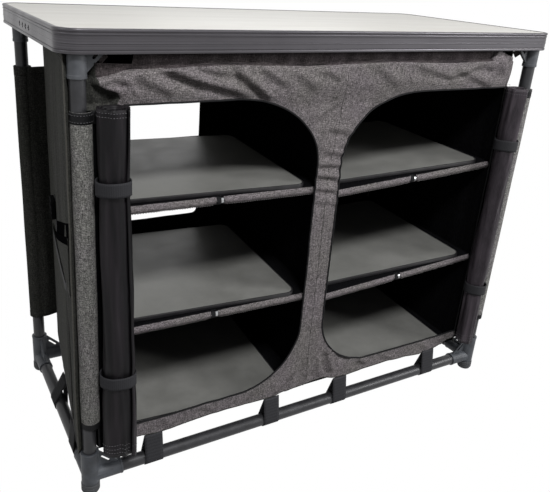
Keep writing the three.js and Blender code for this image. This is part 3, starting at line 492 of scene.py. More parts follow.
# A plate with rounded corners and, where edge is given, softened edges
def roundedPlate(width, depth, radius, bottom, top, edge=0, steps=12):
    bm = bmesh.new()
    bmesh.ops.create_grid(bm, x_segments=1, y_segments=1, size=1)
    for vert in bm.verts:
        vert.co = (math.copysign(width / 2, vert.co.x), math.copysign(depth / 2, vert.co.y), bottom)
    bmesh.ops.bevel(bm, geom=bm.verts[:], offset=radius, affect="VERTICES", segments=steps, profile=0.5,
                    material=-1)
    raiseFace(bm, (0, 0, top - bottom))
    if edge:
        rims = [e for e in bm.edges if abs(e.verts[0].co.z - e.verts[1].co.z) < 1e-7]
        bmesh.ops.bevel(bm, geom=rims, offset=edge, affect="EDGES", segments=3, profile=0.5, material=-1)
    return bm


# An outline in X and Z given a thickness in Y
def uprightPlate(points, fromY, toY):
    bm = bmesh.new()
    bm.faces.new([bm.verts.new((x, fromY, z)) for x, z in points])
    raiseFace(bm, (0, toY - fromY, 0))
    return bm


def boxShape(low, high):
    bm = bmesh.new()
    bmesh.ops.create_cube(bm, size=1)
    size = Vector(high) - Vector(low)
    bmesh.ops.scale(bm, vec=size, verts=bm.verts)
    bmesh.ops.translate(bm, vec=Vector(low) + size / 2, verts=bm.verts)
    return bm


# A grid of cloth: place gives the point for two shares, its map is in metres, and finish may give the
# number of a face's material
def bentGrid(columns, rows, place, size, finish=None):
    bm = bmesh.new()
    bmesh.ops.create_grid(bm, x_segments=columns, y_segments=rows, size=1)
    flat = bm.loops.layers.uv.new("flat")
    for face in bm.faces:
        for loop in face.loops:
            across, up = (loop.vert.co.x + 1) / 2, (loop.vert.co.y + 1) / 2
            loop[flat].uv = (across * size[0], up * size[1])
        if finish:
            middle = face.calc_center_median()
            face.material_index = finish((middle.x + 1) / 2, (middle.y + 1) / 2)
    for vert in bm.verts:
        vert.co = place((vert.co.x + 1) / 2, (vert.co.y + 1) / 2)
    return bm


# A grid of cloth that closes on itself
def ringGrid(columns, rows, place, size):
    bm = bentGrid(columns, rows, place, size)
    bmesh.ops.remove_doubles(bm, verts=bm.verts, dist=1e-6)
    return bm


def faceArea(bm):
    return sum(face.calc_area() for face in bm.faces)


# A band or flap of cloth that gets its thickness from a modifier
def clothPiece(bm, name, slotName, materials, thickness, replaces=(), offset=0.0, inner=0, sharp=60):
    return thicken(makePiece(bm, name, slotName, materials, replaces, sharp), thickness, offset, inner)


# Gives a loose sheet its thickness; with kinds of material on its front, its back takes as many more
def solidSheet(bm, thickness, kinds=1):
    holder = looseMesh(bm, "sheet")
    for _ in range(2 * kinds):
        holder.data.materials.append(None)
    return bakedShape(thicken(holder, thickness, 0, kinds))


# Points at even steps along a line, each with its direction
def evenSteps(points, pitch, closed=False):
    line = points + points[:1] if closed else points
    steps = []
    toNext = pitch / 2
    for start, end in zip(line, line[1:]):
        length = (end - start).length
        while toNext <= length:
            steps.append((start.lerp(end, toNext / length), (end - start).normalized()))
            toNext += pitch
        toNext -= length
    return steps


def pipeAlong(points, radius, closed=False):
    data = bpy.data.curves.new("pipe", "CURVE")
    data.dimensions = "3D"
    spline = data.splines.new("POLY")
    spline.points.add(len(points) - 1)
    for point, place in zip(spline.points, points):
        point.co = (*place, 1)
    spline.use_cyclic_u = closed
    data.bevel_depth = radius
    data.bevel_resolution = 3
    data.use_fill_caps = True
    return tidyFaces(bakedShape(looseObject(data, "pipe")))


def piping(points, radius, name, slotName, finish="binding", closed=False, sharp=180):
    return makePiece(pipeAlong(points, radius, closed), name, slotName, [finish], sharp=sharp)


# Rows of stitches are gathered for each thread and made into one piece at the end
stitching = {"length": 3.4 * mm, "gap": 1.1 * mm, "radius": 0.45 * mm, "fromEdge": 7 * mm}
stitchRows = {"paleThread": [], "greyThread": []}


def stitchRow(thread, points, closed=False):
    stitchRows[thread].append(([Vector(point) for point in points], closed))


def buildStitches():
    halfLength, radius = stitching["length"] / 2, stitching["radius"]
    size = Matrix.Diagonal((halfLength, radius, radius, 1))
    for thread, rows in stitchRows.items():
        bm = bmesh.new()
        for points, closed in rows:
            for place, direction in evenSteps(points, stitching["length"] + stitching["gap"], closed):
                turn = direction.to_track_quat("X", "Z").to_matrix().to_4x4()
                bmesh.ops.create_icosphere(bm, subdivisions=1, radius=1,
                                           matrix=Matrix.Translation(place) @ turn @ size)
        makePiece(bm, thread + "Stitches", "webbing", [thread], sharp=180)
        print("stitches", thread, len(rows), "rows")


def smoothShare(value, start, end):
    share = min(1, max(0, (value - start) / (end - start)))
    return share * share * (3 - 2 * share)


def ripple(turns):
    return 0.5 - 0.5 * math.cos(math.tau * turns)


# Worktop

worktop = {"lip": 6.2 * mm, "wall": 3 * mm, "lipThickness": 1.1 * mm, "relief": 1.4 * mm, "radius": 35 * mm,
           "gap": 0.3 * mm, "toe": 6 * mm, "seat": 7 * mm, "seatThickness": 1.5 * mm, "steps": 16,
           "ventSize": (7.4 * mm, 9 * mm), "ventPitch": 24 * mm, "ventDrop": 15 * mm, "vents": 4}
# Up the rim's outside: shares of the relief inwards, and of the height
rimGrooves = [
    (0.5, 0), (0.1, 0.008), (0, 0.03), (0, 0.1), (0.2, 0.125), (1, 0.14), (1, 0.155), (0.5, 0.17),
    (0.5, 0.39), (0.1, 0.405), (0, 0.42), (0.1, 0.435), (0.5, 0.45), (0.5, 0.68), (1, 0.695), (1, 0.73),
    (0.3, 0.745), (0.2, 0.76), (0.2, 0.8), (0.3, 0.815), (1, 0.83), (1, 0.86), (0.25, 0.88), (0, 0.91),
    (0, 0.94), (0.2, 0.97), (0.6, 0.988), (1.2, 0.997), (2, 1),
]


def buildWorktop():
    low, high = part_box("tabletop_rim")
    boardLow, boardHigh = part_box("tabletop_board")
    width, depth, height = high - low
    middle = Vector(((low.x + high.x) / 2, (low.y + high.y) / 2, 0))
    radius, wall, lip, gap = worktop["radius"], worktop["wall"], worktop["lip"], worktop["gap"]
    lipUnder = height - worktop["lipThickness"]
    seat, toe, thin = worktop["seat"], worktop["toe"], worktop["seatThickness"]
    seatTop = boardLow.z - low.z - gap
    section = [(inset * worktop["relief"], up * height) for inset, up in rimGrooves]
    section += [(lip - 0.4 * mm, height), (lip, height - 0.3 * mm), (lip, lipUnder), (wall, lipUnder),
                (wall, seatTop), (seat, seatTop), (seat, seatTop - thin), (wall, seatTop - thin),
                (wall, thin), (toe, thin), (toe, 0)]
    bm = sweepRound(section, width, depth, radius, worktop["steps"])
    bmesh.ops.translate(bm, vec=middle + Vector((0, 0, low.z)), verts=bm.verts)
    ventWidth, ventHeight = worktop["ventSize"]
    vents = []
    for n in range(worktop["vents"]):
        vent = roundedPlate(ventWidth, ventHeight, ventWidth * 0.49, -4 * mm, 8 * mm, steps=6)
        place = Vector((low.x, middle.y + (n - (worktop["vents"] - 1) / 2) * worktop["ventPitch"],
                        high.z - worktop["ventDrop"] - ventHeight / 2))
        vents.append(seated(vent, Matrix.Translation(place) @ (quarterZ @ quarterX)))
    bm = combine(bm, merged(*vents), "DIFFERENCE")
    makePiece(bm, "worktopRim", "anodised_rim", ["rim"], ["tabletop_rim"], 32, "worktop")

    inset = lip + gap
    field = roundedPlate(width - 2 * inset, depth - 2 * inset, radius - inset,
                         boardLow.z, boardHigh.z, 0.25 * mm, worktop["steps"])
    # The board's edge out under the lip is black: painted shade that makes the vents through the rim read
    # dark
    edge = roundedPlate(width - 2 * (wall + gap), depth - 2 * (wall + gap), radius - wall - gap,
                        boardLow.z + 0.1 * mm, high.z - worktop["lipThickness"] - gap, 0, worktop["steps"])
    for face in edge.faces:
        face.material_index = 1
    board = merged(field, edge)
    bmesh.ops.translate(board, vec=middle, verts=board.verts)
    makePiece(board, "worktopBoard", "worktop_laminate", ["laminate", "blackMatteAndVentShade"], ["tabletop_board"],
              body="worktop")
    print("worktop")


# Frame: tubes, fittings and feet

tubes = {"radius": 12 * mm, "wall": 1.2 * mm, "endRound": 0.4 * mm, "shelfRadius": 6 * mm,
         "shelfWall": 1 * mm}


def tubeShape(radius, wall, length, steps=48):
    r = tubes["endRound"]
    half = length / 2
    return lathe([(radius - wall, -half), (radius - r, -half), (radius, r - half), (radius, half - r),
                  (radius - r, half), (radius - wall, half)], steps, closed=True)


def buildTubes():
    turns = {"Z": Matrix.Identity(4), "X": quarterY, "Y": quarterX}
    runs = [("leg_" + corner, "Z") for corner in cornerTurns]
    runs += [("bottom_rail_" + side, axis) for side, axis in zip(("front", "rear", "left", "right"), "XXYY")]
    for node, axis in runs:
        low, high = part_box(node)
        bm = tubeShape(tubes["radius"], tubes["wall"], (high - low)["XYZ".index(axis)])
        seated(bm, Matrix.Translation(boxCentre(node)) @ turns[axis])
        makePiece(bm, "tube_" + node, "coated_tube", ["steel"], [node])
    print("tubes", len(runs))


upperFitting = {"socketRadius": 13.8 * mm, "bore": 12.3 * mm, "reach": 60 * mm, "plate": 4 * mm,
                "corner": 9 * mm, "web": 3 * mm, "slot": (22 * mm, 4 * mm), "slotInset": 7 * mm,
                "lip": 0.5 * mm, "lipHeight": 5 * mm}
lowerFitting = {"hubRadius": 15.5 * mm, "bore": 12.3 * mm, "armRadius": 13.9 * mm, "reach": 57 * mm,
                "webReach": 52 * mm, "railAxis": 35 * mm, "web": 3 * mm, "slot": (22 * mm, 4 * mm),
                "slotInset": 7 * mm, "lip": 0.6 * mm, "lipHeight": 3.5 * mm, "armInset": 18 * mm}
play = 0.3 * mm          # room round a leg's end in its sockets
lead = 0.6 * mm          # height of the slope below a fitting's lip


# A gusset in X and Z with a strap slot along its sloping edge
def gusset(low, inner, tip, sizes):
    thickness, slotSize = sizes["web"], sizes["slot"]
    plate = uprightPlate([low, inner, tip], -thickness / 2, thickness / 2)
    start, end, inside = Vector(low), Vector(tip), Vector(inner)
    along = (end - start).normalized()
    middle = (start + end) / 2
    centre = middle + (inside - middle).normalized() * sizes["slotInset"]
    slope = Matrix.Rotation(-math.atan2(along.y, along.x), 4, "Y")
    slot = roundedPlate(slotSize[0], slotSize[1], slotSize[1] * 0.49, -thickness, thickness, steps=5)
    seated(slot, Matrix.Translation((centre.x, 0, centre.y)) @ slope @ quarterX)
    return combine(plate, slot, "DIFFERENCE")


# Adds or cuts a shape along X and once more along Y
def combineBoth(whole, shape, operation):
    whole = combine(whole, seated(shape.copy(), quarterZ), operation)
    return combine(whole, shape, operation)


def bore(radius, bottom, top):
    return lathe([(0, bottom), (radius, bottom), (radius, top), (0, top)])


def upperFittingShape(bottom, top, legTop):
    sizes = upperFitting
    radius, reach, corner = sizes["socketRadius"], sizes["reach"], sizes["corner"]
    plateUnder = top - sizes["plate"]
    lipRadius, lipTop = radius + sizes["lip"], bottom + sizes["lipHeight"]
    whole = lathe([(0, bottom), (lipRadius - 0.3 * mm, bottom), (lipRadius, bottom + 0.3 * mm),
                   (lipRadius, lipTop), (radius, lipTop + lead), (radius, top), (0, top)])
    plate = uprightPlate([(-corner, corner), (reach, corner), (reach, -corner), (corner, -reach),
                          (-corner, -reach)], 0, sizes["plate"])
    seated(plate, Matrix.Translation((0, 0, plateUnder)) @ quarterX)
    upright = [e for e in plate.edges if abs(e.verts[0].co.z - e.verts[1].co.z) > 1 * mm]
    bmesh.ops.bevel(plate, geom=upright, offset=4 * mm, affect="EDGES", segments=5, profile=0.5, material=-1)
    web = gusset((radius * 0.8, plateUnder - reach + radius * 0.8), (radius * 0.8, plateUnder + 1 * mm),
                 (reach - 1 * mm, plateUnder + 1 * mm), sizes)
    whole = combineBoth(combine(whole, plate, "UNION"), web, "UNION")
    return combine(whole, bore(sizes["bore"], bottom - 5 * mm, legTop + play), "DIFFERENCE")


def lowerFittingShape(bottom, top, legBottom):
    sizes = lowerFitting
    hub, arm, reach, axis = sizes["hubRadius"], sizes["armRadius"], sizes["reach"], sizes["railAxis"]
    lip, lipHeight = sizes["lip"], sizes["lipHeight"]
    whole = lathe([(0, bottom), (hub - 1.2 * mm, bottom), (hub, bottom + 1.2 * mm),
                   (hub, top - lipHeight - lead), (hub + lip, top - lipHeight), (hub + lip, top - 0.5 * mm),
                   (hub + lip - 0.5 * mm, top), (0, top)])
    armShape = lathe([(0, 0), (arm, 0), (arm, reach - lipHeight - lead), (arm + lip, reach - lipHeight),
                      (arm + lip, reach - 0.4 * mm), (arm + lip - 0.4 * mm, reach), (0, reach)])
    alongX = Matrix.Translation((0, 0, axis)) @ quarterY
    whole = combineBoth(whole, seated(armShape, alongX), "UNION")
    web = gusset((hub - 2 * mm, top - 3 * mm), (0, axis), (sizes["webReach"], axis + arm - 1 * mm), sizes)
    whole = combineBoth(whole, web, "UNION")
    armBore = bore(sizes["bore"], sizes["armInset"], reach + 5 * mm)
    whole = combineBoth(whole, seated(armBore, alongX), "DIFFERENCE")
    return combine(whole, bore(sizes["bore"], legBottom - play, top + 5 * mm), "DIFFERENCE")


foot = {"radius": 16.5 * mm, "tip": 11 * mm, "stud": 4 * mm}
# Up the knob: shares of the way out from tip to radius, and of the height
footRibs = [(0, 0), (0.3, 0.02), (0.55, 0.06), (0.72, 0.13), (0.8, 0.22), (0.8, 0.25), (1, 0.28), (1, 0.4),
            (0.82, 0.43), (0.82, 0.47), (1, 0.5), (1, 0.63), (0.82, 0.66), (0.82, 0.7), (1, 0.73), (1, 0.92),
            (0.85, 1)]


def footShape(top, studTop):
    span = foot["radius"] - foot["tip"]
    knob = [(foot["tip"] + out * span, up * top) for out, up in footRibs]
    return lathe([(0, 0)] + knob + [(foot["stud"], top), (foot["stud"], studTop), (0, studTop)])


def buildFittings():
    legBottom, legTop = (corner.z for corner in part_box("leg_front_left"))
    low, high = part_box("upper_fitting_front_left")
    upper = upperFittingShape(low.z, high.z, legTop)
    low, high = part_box("lower_fitting_front_left")
    lower = lowerFittingShape(low.z, high.z, legBottom)
    knob = footShape(low.z - play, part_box("foot_front_left")[1].z)
    for corner, turn in cornerTurns.items():
        centre = boxCentre("leg_" + corner)
        place = Matrix.Translation((centre.x, centre.y, 0)) @ Matrix.Rotation(math.radians(turn), 4, "Z")
        for shape, kind, body, slotName, finish in (
                (upper, "upper_fitting_", "frame", "moulded_plastic", "nylon"),
                (lower, "lower_fitting_", "frame", "moulded_plastic", "nylonDark"),
                (knob, "foot_", "foot_" + corner, "foot_plastic", "foot")):
            node = kind + corner
            bm = seated(shape.copy(), place)
            softenEdges(makePiece(bm, "shape_" + node, slotName, [finish], [node], 30, body), 0.35 * mm)
    for shape in (upper, lower, knob):
        shape.free()
    print("fittings and feet")


# Front panel: valance, centre strip and hem, cut out for the two doors

panel = {
    "thickness": 1.2 * mm, "gap": 2.3 * mm, "cell": 3.5 * mm, "hem": 89 * mm, "valanceDrop": 73 * mm,
    "sleeveDrop": 80 * mm, "openBottom": 121 * mm, "openOut": 405 * mm, "strip": (-47 * mm, 5.5 * mm),
    "arch": (170 * mm, 125 * mm), "footArc": (140 * mm, 125 * mm), "rightEnd": 415 * mm, "tuck": 6 * mm,
    "pelmetTop": 750 * mm, "pelmetOut": 8 * mm, "bandIn": 1 * mm, "bandEnd": 344 * mm,
    "valanceFrom": (0.688, 0.70), "rightTurn": (0.388, 0.416, 10 * mm), "leftTurn": (-0.444, 6 * mm),
    "cornerDepth": 13 * mm, "cornerBend": (10 * mm, 4 * mm), "cornerEnd": -380 * mm, "cornerShadeFrom": 0.69,
    "cornerDip": (11 * mm, -446 * mm, -392 * mm), "stitchOut": 0.9 * mm, "bindingHeight": 20 * mm,
}
# The valance's upper corners in millimetres, from its end to where its band meets the worktop
shoulders = {
    -1: [(-470, 764), (-454, 763), (-447, 758), (-430, 757), (-413, 756.5), (-391, 755.5), (-387, 776)],
    1: [(415, 748), (399, 757), (368, 769), (364, 776)],
}
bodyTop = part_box("side_wall_left")[1].z
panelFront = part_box("divider_wall")[0].y - panel["gap"]
openTop = bodyTop - panel["valanceDrop"]
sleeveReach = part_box("front_panel")[1].x

# Each fold in millimetres: from and to in X and Z, its width and how far it stands out
valanceFolds = [
    ((-340, 751), (-282, 729), 9, 3.6), ((-286, 731), (-200, 708), 8, 3.4),
    ((-222, 744), (-190, 722), 8, 3.2), ((-192, 724), (-158, 700), 7, 2.8),
    ((-292, 750), (-240, 740), 7, 1.6), ((-176, 748), (-128, 722), 8, 1.6),
    ((-384, 742), (-330, 716), 9, 1.8), ((-110, 742), (-70, 716), 9, 1.4),
    ((-60, 748), (-20, 730), 8, 1.2), ((60, 744), (110, 716), 10, 1.4), ((150, 748), (236, 728), 9, 1.6),
    ((236, 728), (318, 748), 8, 1.6), ((262, 738), (350, 706), 8, 1.6), ((330, 745), (392, 722), 8, 2.0),
    ((372, 762), (404, 726), 6, 2.0), ((-424, 748), (-398, 734), 6, 1.6),
    ((-398, 736), (-386, 712), 6, 1.4), ((-404, 722), (-396, 700), 5, 1.2),
]
stripFolds = [
    ((-40, 574), (4, 569), 6, 1.7), ((-42, 554), (2, 547), 6.5, 2.0), ((-43, 530), (1, 520), 6, 1.7),
    ((-36, 600), (10, 591), 7, 1.2), ((-44, 503), (2, 497), 6, 1.0), ((-28, 640), (22, 630), 8, 1.3),
    ((-60, 660), (-20, 690), 8, 1.3), ((40, 668), (70, 700), 8, 1.2), ((48, 176), (24, 160), 6, 1.8),
    ((30, 164), (46, 112), 7, 2.8), ((62, 150), (92, 134), 6, 1.6), ((92, 136), (126, 132), 6, 1.0),
    ((116, 122), (140, 104), 7, 1.6), ((-60, 140), (-92, 96), 7, 1.8), ((-40, 170), (-56, 118), 7, 1.8),
    ((8, 150), (14, 100), 7, 2.0), ((-20, 130), (-24, 96), 6, 1.6), ((180, 112), (214, 98), 7, 0.7),
    ((-260, 116), (-226, 98), 7, 0.7), ((300, 114), (324, 98), 7, 0.8), ((-150, 114), (-170, 98), 6, 0.7),
    ((-330, 114), (-318, 98), 6, 0.6), ((356, 112), (372, 98), 6, 0.7),
]
foldRelief = 2.1         # deepens all the folds together
foldReach = 90           # folds further off than this in Z are skipped
# The gathered fold at the valance's left end: at each height, the X where the cloth turns back
cornerFold = [(690, -418), (700, -415), (708, -411), (717, -415), (723, -422), (728, -433), (741, -443),
              (760, -446)]
# How far the hem rises along X
hemRises = [(-453, 2), (-383, 2.5), (-341, -3), (-275, 1), (-204, 3), (-120, 0.5), (-95, 1), (-40, 6),
            (18, 10), (60, 1), (88, -1), (140, 2), (190, 2.5), (250, 0), (302, -5), (340, -1), (364, 3),
            (386, 12), (453, 16)]


def tableValue(table, x):
    for (fromX, fromValue), (toX, toValue) in zip(table, table[1:]):
        if x <= toX:
            return fromValue + (toValue - fromValue) * smoothShare(x, fromX, toX)
    return table[-1][1]


# Each fold is a soft ridge with a shallower valley beside it, and fades out at both ends
def foldsAt(folds, x, z):
    total = 0
    point = Vector((x, z, 0))
    for start, end, width, rise in folds:
        if abs(z - (start[1] + end[1]) / 2) > foldReach:
            continue
        nearest, share = intersect_point_line(point, (*start, 0), (*end, 0))
        taper = smoothShare(share, -0.25, 0.2) * (1 - smoothShare(share, 0.8, 1.25))
        if taper > 0:
            away = (point - nearest).length / width
            side = (point - nearest).y / width
            valley = 0.75 * math.exp(-((side + 1.3) ** 2) * 1.6)
            total += foldRelief * rise * taper * (math.exp(-away * away * 1.4) - valley * (away < 3))
    return total


# The pelmet's fold rises at the right end and dips to the gusset at the left
def pelmetRise(x):
    end = panel["bandEnd"]
    return 2.5 * mm * math.sin(x / (52 * mm)) + 26 * mm * smoothShare(x, end - 4 * mm, end + 28 * mm)


def pelmetBend(x, z):
    depth, start, end = panel["cornerDip"]
    dip = depth * (1 - smoothShare(x, start, end))
    return (pelmetRise(x) - dip) * math.exp(-((z - panel["pelmetTop"]) / (30 * mm)) ** 2)


# Moves the valance's columns so that one of them runs along the corner's fold
def cornerWarp(x, z, start):
    middle, end = cornerFold[0][1] * mm, panel["cornerEnd"]
    if x > end:
        return x
    foldX = tableValue(cornerFold, z / mm) * mm
    fixed = start if x < middle else end
    return fixed + (x - fixed) * (foldX - fixed) / (middle - fixed)


# How far the panel's face stands out at a place in X and Z, all in metres
def panelOut(x, z):
    xMm, zMm = x / mm, z / mm
    out = foldsAt(valanceFolds, xMm, zMm) if zMm > 680 else foldsAt(stripFolds, xMm, zMm)
    pelmetTop = (panel["pelmetTop"] + pelmetRise(x)) / mm
    aboveFold = smoothShare(zMm, pelmetTop - 2.5, pelmetTop + 2.5)
    belly = smoothShare(zMm, openTop / mm - 22, openTop / mm + 26)
    pelmet = panel["pelmetOut"] / mm * belly * (1 - aboveFold) - panel["bandIn"] / mm * aboveFold
    pleats = 1.5 * aboveFold * math.sin(xMm / 7.5 + 2 * noise.noise((x * 18, 0, 0)))
    inStrip = smoothShare(zMm, 180, 240) * (1 - smoothShare(zMm, 600, 660))
    puckers = inStrip * 0.3 * math.sin(zMm / 2.6 + 1.4 * noise.noise((x * 60, z * 30, 3))) * (abs(x) < 0.09)
    slack = 1.6 * noise.noise((x * 13, 1.7, z * 13)) + 1.1 * noise.noise((x * 38, 5.1, z * 38))
    return (out + pelmet + pleats + puckers + slack) * mm


def hemShift(x, z):
    fade = 1 - smoothShare(z, panel["hem"], panel["openBottom"] + 5 * mm)
    return z + tableValue(hemRises, x / mm) * mm * fade


def onPanel(points, lift=0.0):
    return [(x, panelFront - panelOut(x, z) - lift, hemShift(x, z)) for x, z in points]


def openingOutline(side, steps=24):
    outer = side * panel["openOut"]
    inner = panel["strip"][1] if side > 0 else panel["strip"][0]
    angles = [n / steps * math.pi / 2 for n in range(steps + 1)]
    points = [(outer, panel["openBottom"])]
    width, height = panel["footArc"]
    points += [(inner + side * width * (1 - math.sin(angle)),
                panel["openBottom"] + height * (1 - math.cos(angle))) for angle in angles]
    width, height = panel["arch"]
    points += [(inner + side * width * (1 - math.cos(angle)), openTop - height * (1 - math.sin(angle)))
               for angle in angles]
    return points + [(outer, openTop)]


# A closed outline with points at the given pitch
def subdivided(points, pitch):
    finer = []
    for (fromX, fromZ), (toX, toZ) in zip(points, points[1:] + points[:1]):
        steps = max(1, round(math.hypot(toX - fromX, toZ - fromZ) / pitch))
        finer += [(fromX + (toX - fromX) * n / steps, fromZ + (toZ - fromZ) * n / steps)
                  for n in range(steps)]
    return finer


def offsetOutline(points, distance):
    count = len(points)
    area = sum(points[n - 1][0] * points[n][1] - points[n][0] * points[n - 1][1] for n in range(count))
    moved = []
    for n in range(count):
        along = (Vector(points[(n + 1) % count]) - Vector(points[n - 1])).normalized()
        outwards = Vector((along.y, -along.x)) * math.copysign(1, area)
        moved.append(tuple(Vector(points[n]) + outwards * distance))
    return moved


# The panel's cloth before its openings are cut: a grid over its whole height, tucked in at both ends
def panelCloth(low, high):
    left = sleeveReach + panel["tuck"]
    width = left + sleeveReach

    def place(across, up):
        z = low + up * (high - low)
        x = cornerWarp(across * width - left, z, -left)
        inValance = smoothShare(z, *panel["valanceFrom"])
        turnFrom, turnTo, turnDepth = panel["rightTurn"]
        turnedBack = smoothShare(x, turnFrom, turnTo) * inValance * turnDepth
        foldX = tableValue(cornerFold, z / mm) * mm
        before, after = panel["cornerBend"]
        tucked = (1 - smoothShare(x, foldX - before, foldX + after)) * inValance * panel["cornerDepth"]
        turnTo, turnDepth = panel["leftTurn"]
        tucked += (1 - smoothShare(x, -left, turnTo)) * inValance * turnDepth
        y = panelFront - panelOut(x, z) + turnedBack + tucked
        return Vector((x, y, hemShift(x, z) + pelmetBend(x, z)))

    # 0 is the panel, 1 the band above the pelmet's fold, darkened with painted shade, 2 the strips beside the
    # sleeves, black lining as painted shade, 3 the corner, the melange darkened with painted shade
    def finish(across, up):
        x = across * width - left
        z = low + up * (high - low)
        if abs(x) > panel["openOut"] + 3 * mm and z < bodyTop - panel["sleeveDrop"]:
            return 2
        if z > panel["cornerShadeFrom"] and x < cornerFold[0][1] * mm:
            return 3
        return 1 if z > panel["pelmetTop"] + 1.5 * mm and x < panel["bandEnd"] else 0

    columns, rows = round(width / panel["cell"]), round((high - low) / panel["cell"])
    bm = bentGrid(columns, rows, place, (width, high - low), finish)
    return solidSheet(bm, panel["thickness"], 4)


def buildFrontPanel():
    low, high = panel["hem"], bodyTop
    deep = 40 * mm       # the cutters' reach before and behind the panel, and past its edges
    cutters = [uprightPlate(openingOutline(side), panelFront - deep, panelFront + deep) for side in (-1, 1)]
    sleeveTop = bodyTop - panel["sleeveDrop"]
    beyond = sleeveReach + deep
    for side in (-1, 1):
        corner = [(x * mm, z * mm) for x, z in shoulders[side]]
        corner += [(corner[-1][0], bodyTop + deep), (side * beyond, bodyTop + deep)]
        if side > 0:
            corner += [(beyond, sleeveTop), (panel["rightEnd"], sleeveTop)]
        else:
            corner.append((-beyond, corner[0][1]))
            cutters.append(boxShape((-beyond, panelFront - deep, low - deep),
                                    (-sleeveReach, panelFront + deep, sleeveTop + 0.5 * mm)))
        cutters.append(uprightPlate(corner, panelFront - deep, panelFront + deep))
    bm = combine(panelCloth(low, high), merged(*cutters), "DIFFERENCE")
    area = faceArea(bm) / 2
    materials = ["melange", "melangeBandShade", "lining", "melangeShaded"] + 4 * ["lining"]
    piece = makePiece(bm, "frontPanel", "melange_cloth", materials, ["front_panel"], 60)
    trimOpenings()
    trimPanelSeams()
    trimSleeveStrips()
    print("front panel", round(area, 4), "m2")


# Piping round each door opening, with a row of stitches outside it
def trimOpenings():
    for side, name in ((-1, "left"), (1, "right")):
        outline = subdivided(openingOutline(side), 7 * mm)
        piping(onPanel(outline, 0.8 * mm), 1.7 * mm, "doorPiping_" + name, "door_cloth", closed=True)
        stitchRow("greyThread", onPanel(offsetOutline(outline, stitching["fromEdge"]), panel["stitchOut"]),
                  closed=True)


# The hem's stitches and binding, the seam down the centre strip, and the one along the pelmet's fold
def trimPanelSeams():
    hem, foldZ = panel["hem"], panel["pelmetTop"] + 2 * mm
    hemLine = [(x * mm, hem + 9 * mm) for x in range(-440, 441, 8)]
    stitchRow("greyThread", onPanel(hemLine, panel["stitchOut"]))
    seam = [(-8 * mm - 12 * mm * (1 - smoothShare(z, 540, 690)), z * mm) for z in range(100, 737, 8)]
    # This seam, and the hem's binding below, take the melange darkened with painted shade
    piping(onPanel(seam, 0.2 * mm), 0.7 * mm, "panelSeam", "melange_cloth", "melangeShaded", sharp=38)
    foldLine = [(x * mm, panelFront - panelOut(x * mm, foldZ), foldZ + pelmetBend(x * mm, foldZ))
                for x in range(-400, 341, 5)]
    piping(foldLine, 0.8 * mm, "pelmetSeam", "melange_cloth")
    bottom = [(x * mm, hem + 1 * mm) for x in range(-448, 449, 8)]
    piping(onPanel(bottom), 1.3 * mm, "hemBinding", "melange_cloth", "melangeShaded", sharp=38)


# The seams that close the panel to the front sleeves, and dark binding on top of the strips beside them
def trimSleeveStrips():
    height = panel["bindingHeight"]
    sleeveTop = bodyTop - panel["sleeveDrop"]
    for side, name in ((-1, "left"), (1, "right")):
        seamX, seamY = side * (sleeveReach + 0.6 * mm), panelFront + 0.5 * mm
        line = [(seamX, seamY, 92 * mm + n * 9 * mm) for n in range(67)]
        piping(line, 1.9 * mm, "sleeveSeam_" + name, "door_cloth")
    for side, name in ((-1, "left"), (1, "right")):
        fromX, toX = sorted((side * (panel["openOut"] + 1 * mm), side * sleeveReach))

        def place(across, up):
            x = fromX + across * (toX - fromX)
            z = sleeveTop - (1 - up) * height
            return Vector((x, panelFront - panelOut(x, z) - 1.2 * mm, z + 1 * mm))

        band = bentGrid(10, 4, place, (toX - fromX, height))
        clothPiece(band, "stripBinding_" + name, "door_cloth", ["binding"], 1 * mm, sharp=38)


# Upright cloth walls

wallShape = {"rows": 84, "columns": 52, "hem": 89 * mm, "thickness": 1.2 * mm, "folds": 3,
             "stitchRows": (0.013, 0.985), "stitchOut": 0.9 * mm, "return": (12.6 * mm, 16.6 * mm)}
wallHeight = bodyTop - wallShape["hem"]
# Each wall's front and rear edge in X and Y, its swell and slack, the end that its grid starts from, and its
# finish: the outer walls take the melange darkened with painted shade
walls = {
    "left": {"node": "side_wall_left", "front": (-489.1 * mm, -187.2 * mm), "rear": (-431.3 * mm, 203.8 * mm),
             "wave": 1.6 * mm, "slack": 0.9, "seed": 2, "from": "rear", "finish": "melangeShaded"},
    "divider": {"node": "divider_wall", "front": (-20 * mm, -187 * mm), "rear": (12 * mm, 203.8 * mm),
                "wave": 0.0, "slack": 0.45, "seed": 7, "from": "front", "finish": "lining"},
    "right": {"node": "side_wall_right", "front": (409 * mm, -189.6 * mm), "rear": (434 * mm, 203.8 * mm),
              "wave": 2.4 * mm, "slack": 0.9, "seed": 11, "from": "front", "finish": "melangeShaded"},
}


def wallX(name, y):
    (frontX, frontY), (rearX, rearY) = walls[name]["front"], walls[name]["rear"]
    return frontX + (rearX - frontX) * (y - frontY) / (rearY - frontY)


# A wall's cloth, and the function that gives its points
def wallGrid(start, end, wave, slack, seed, columns):
    start, end = Vector(start), Vector(end)
    along = end - start
    side = Vector((along.y, -along.x)).normalized()

    def place(share, up):
        point = start.lerp(end, share)
        swell = wave * ripple(share * wallShape["folds"]) * math.sin(math.pi * up) ** 0.5
        soft = 2.2 * noise.noise((share * 4, seed, up * 3)) + 0.9 * noise.noise((share * 13, seed, up * 9))
        creases = 2.6 * noise.noise((share * 15 + up * 1.5, seed + 4, up * 1.2))
        swell += slack * (soft + creases) * mm * math.sin(math.pi * up) ** 0.4
        point = point + side * swell
        return Vector((point.x, point.y, wallShape["hem"] + up * wallHeight))

    bm = bentGrid(columns, wallShape["rows"], place, (along.length, wallHeight))
    return solidSheet(bm, wallShape["thickness"]), place


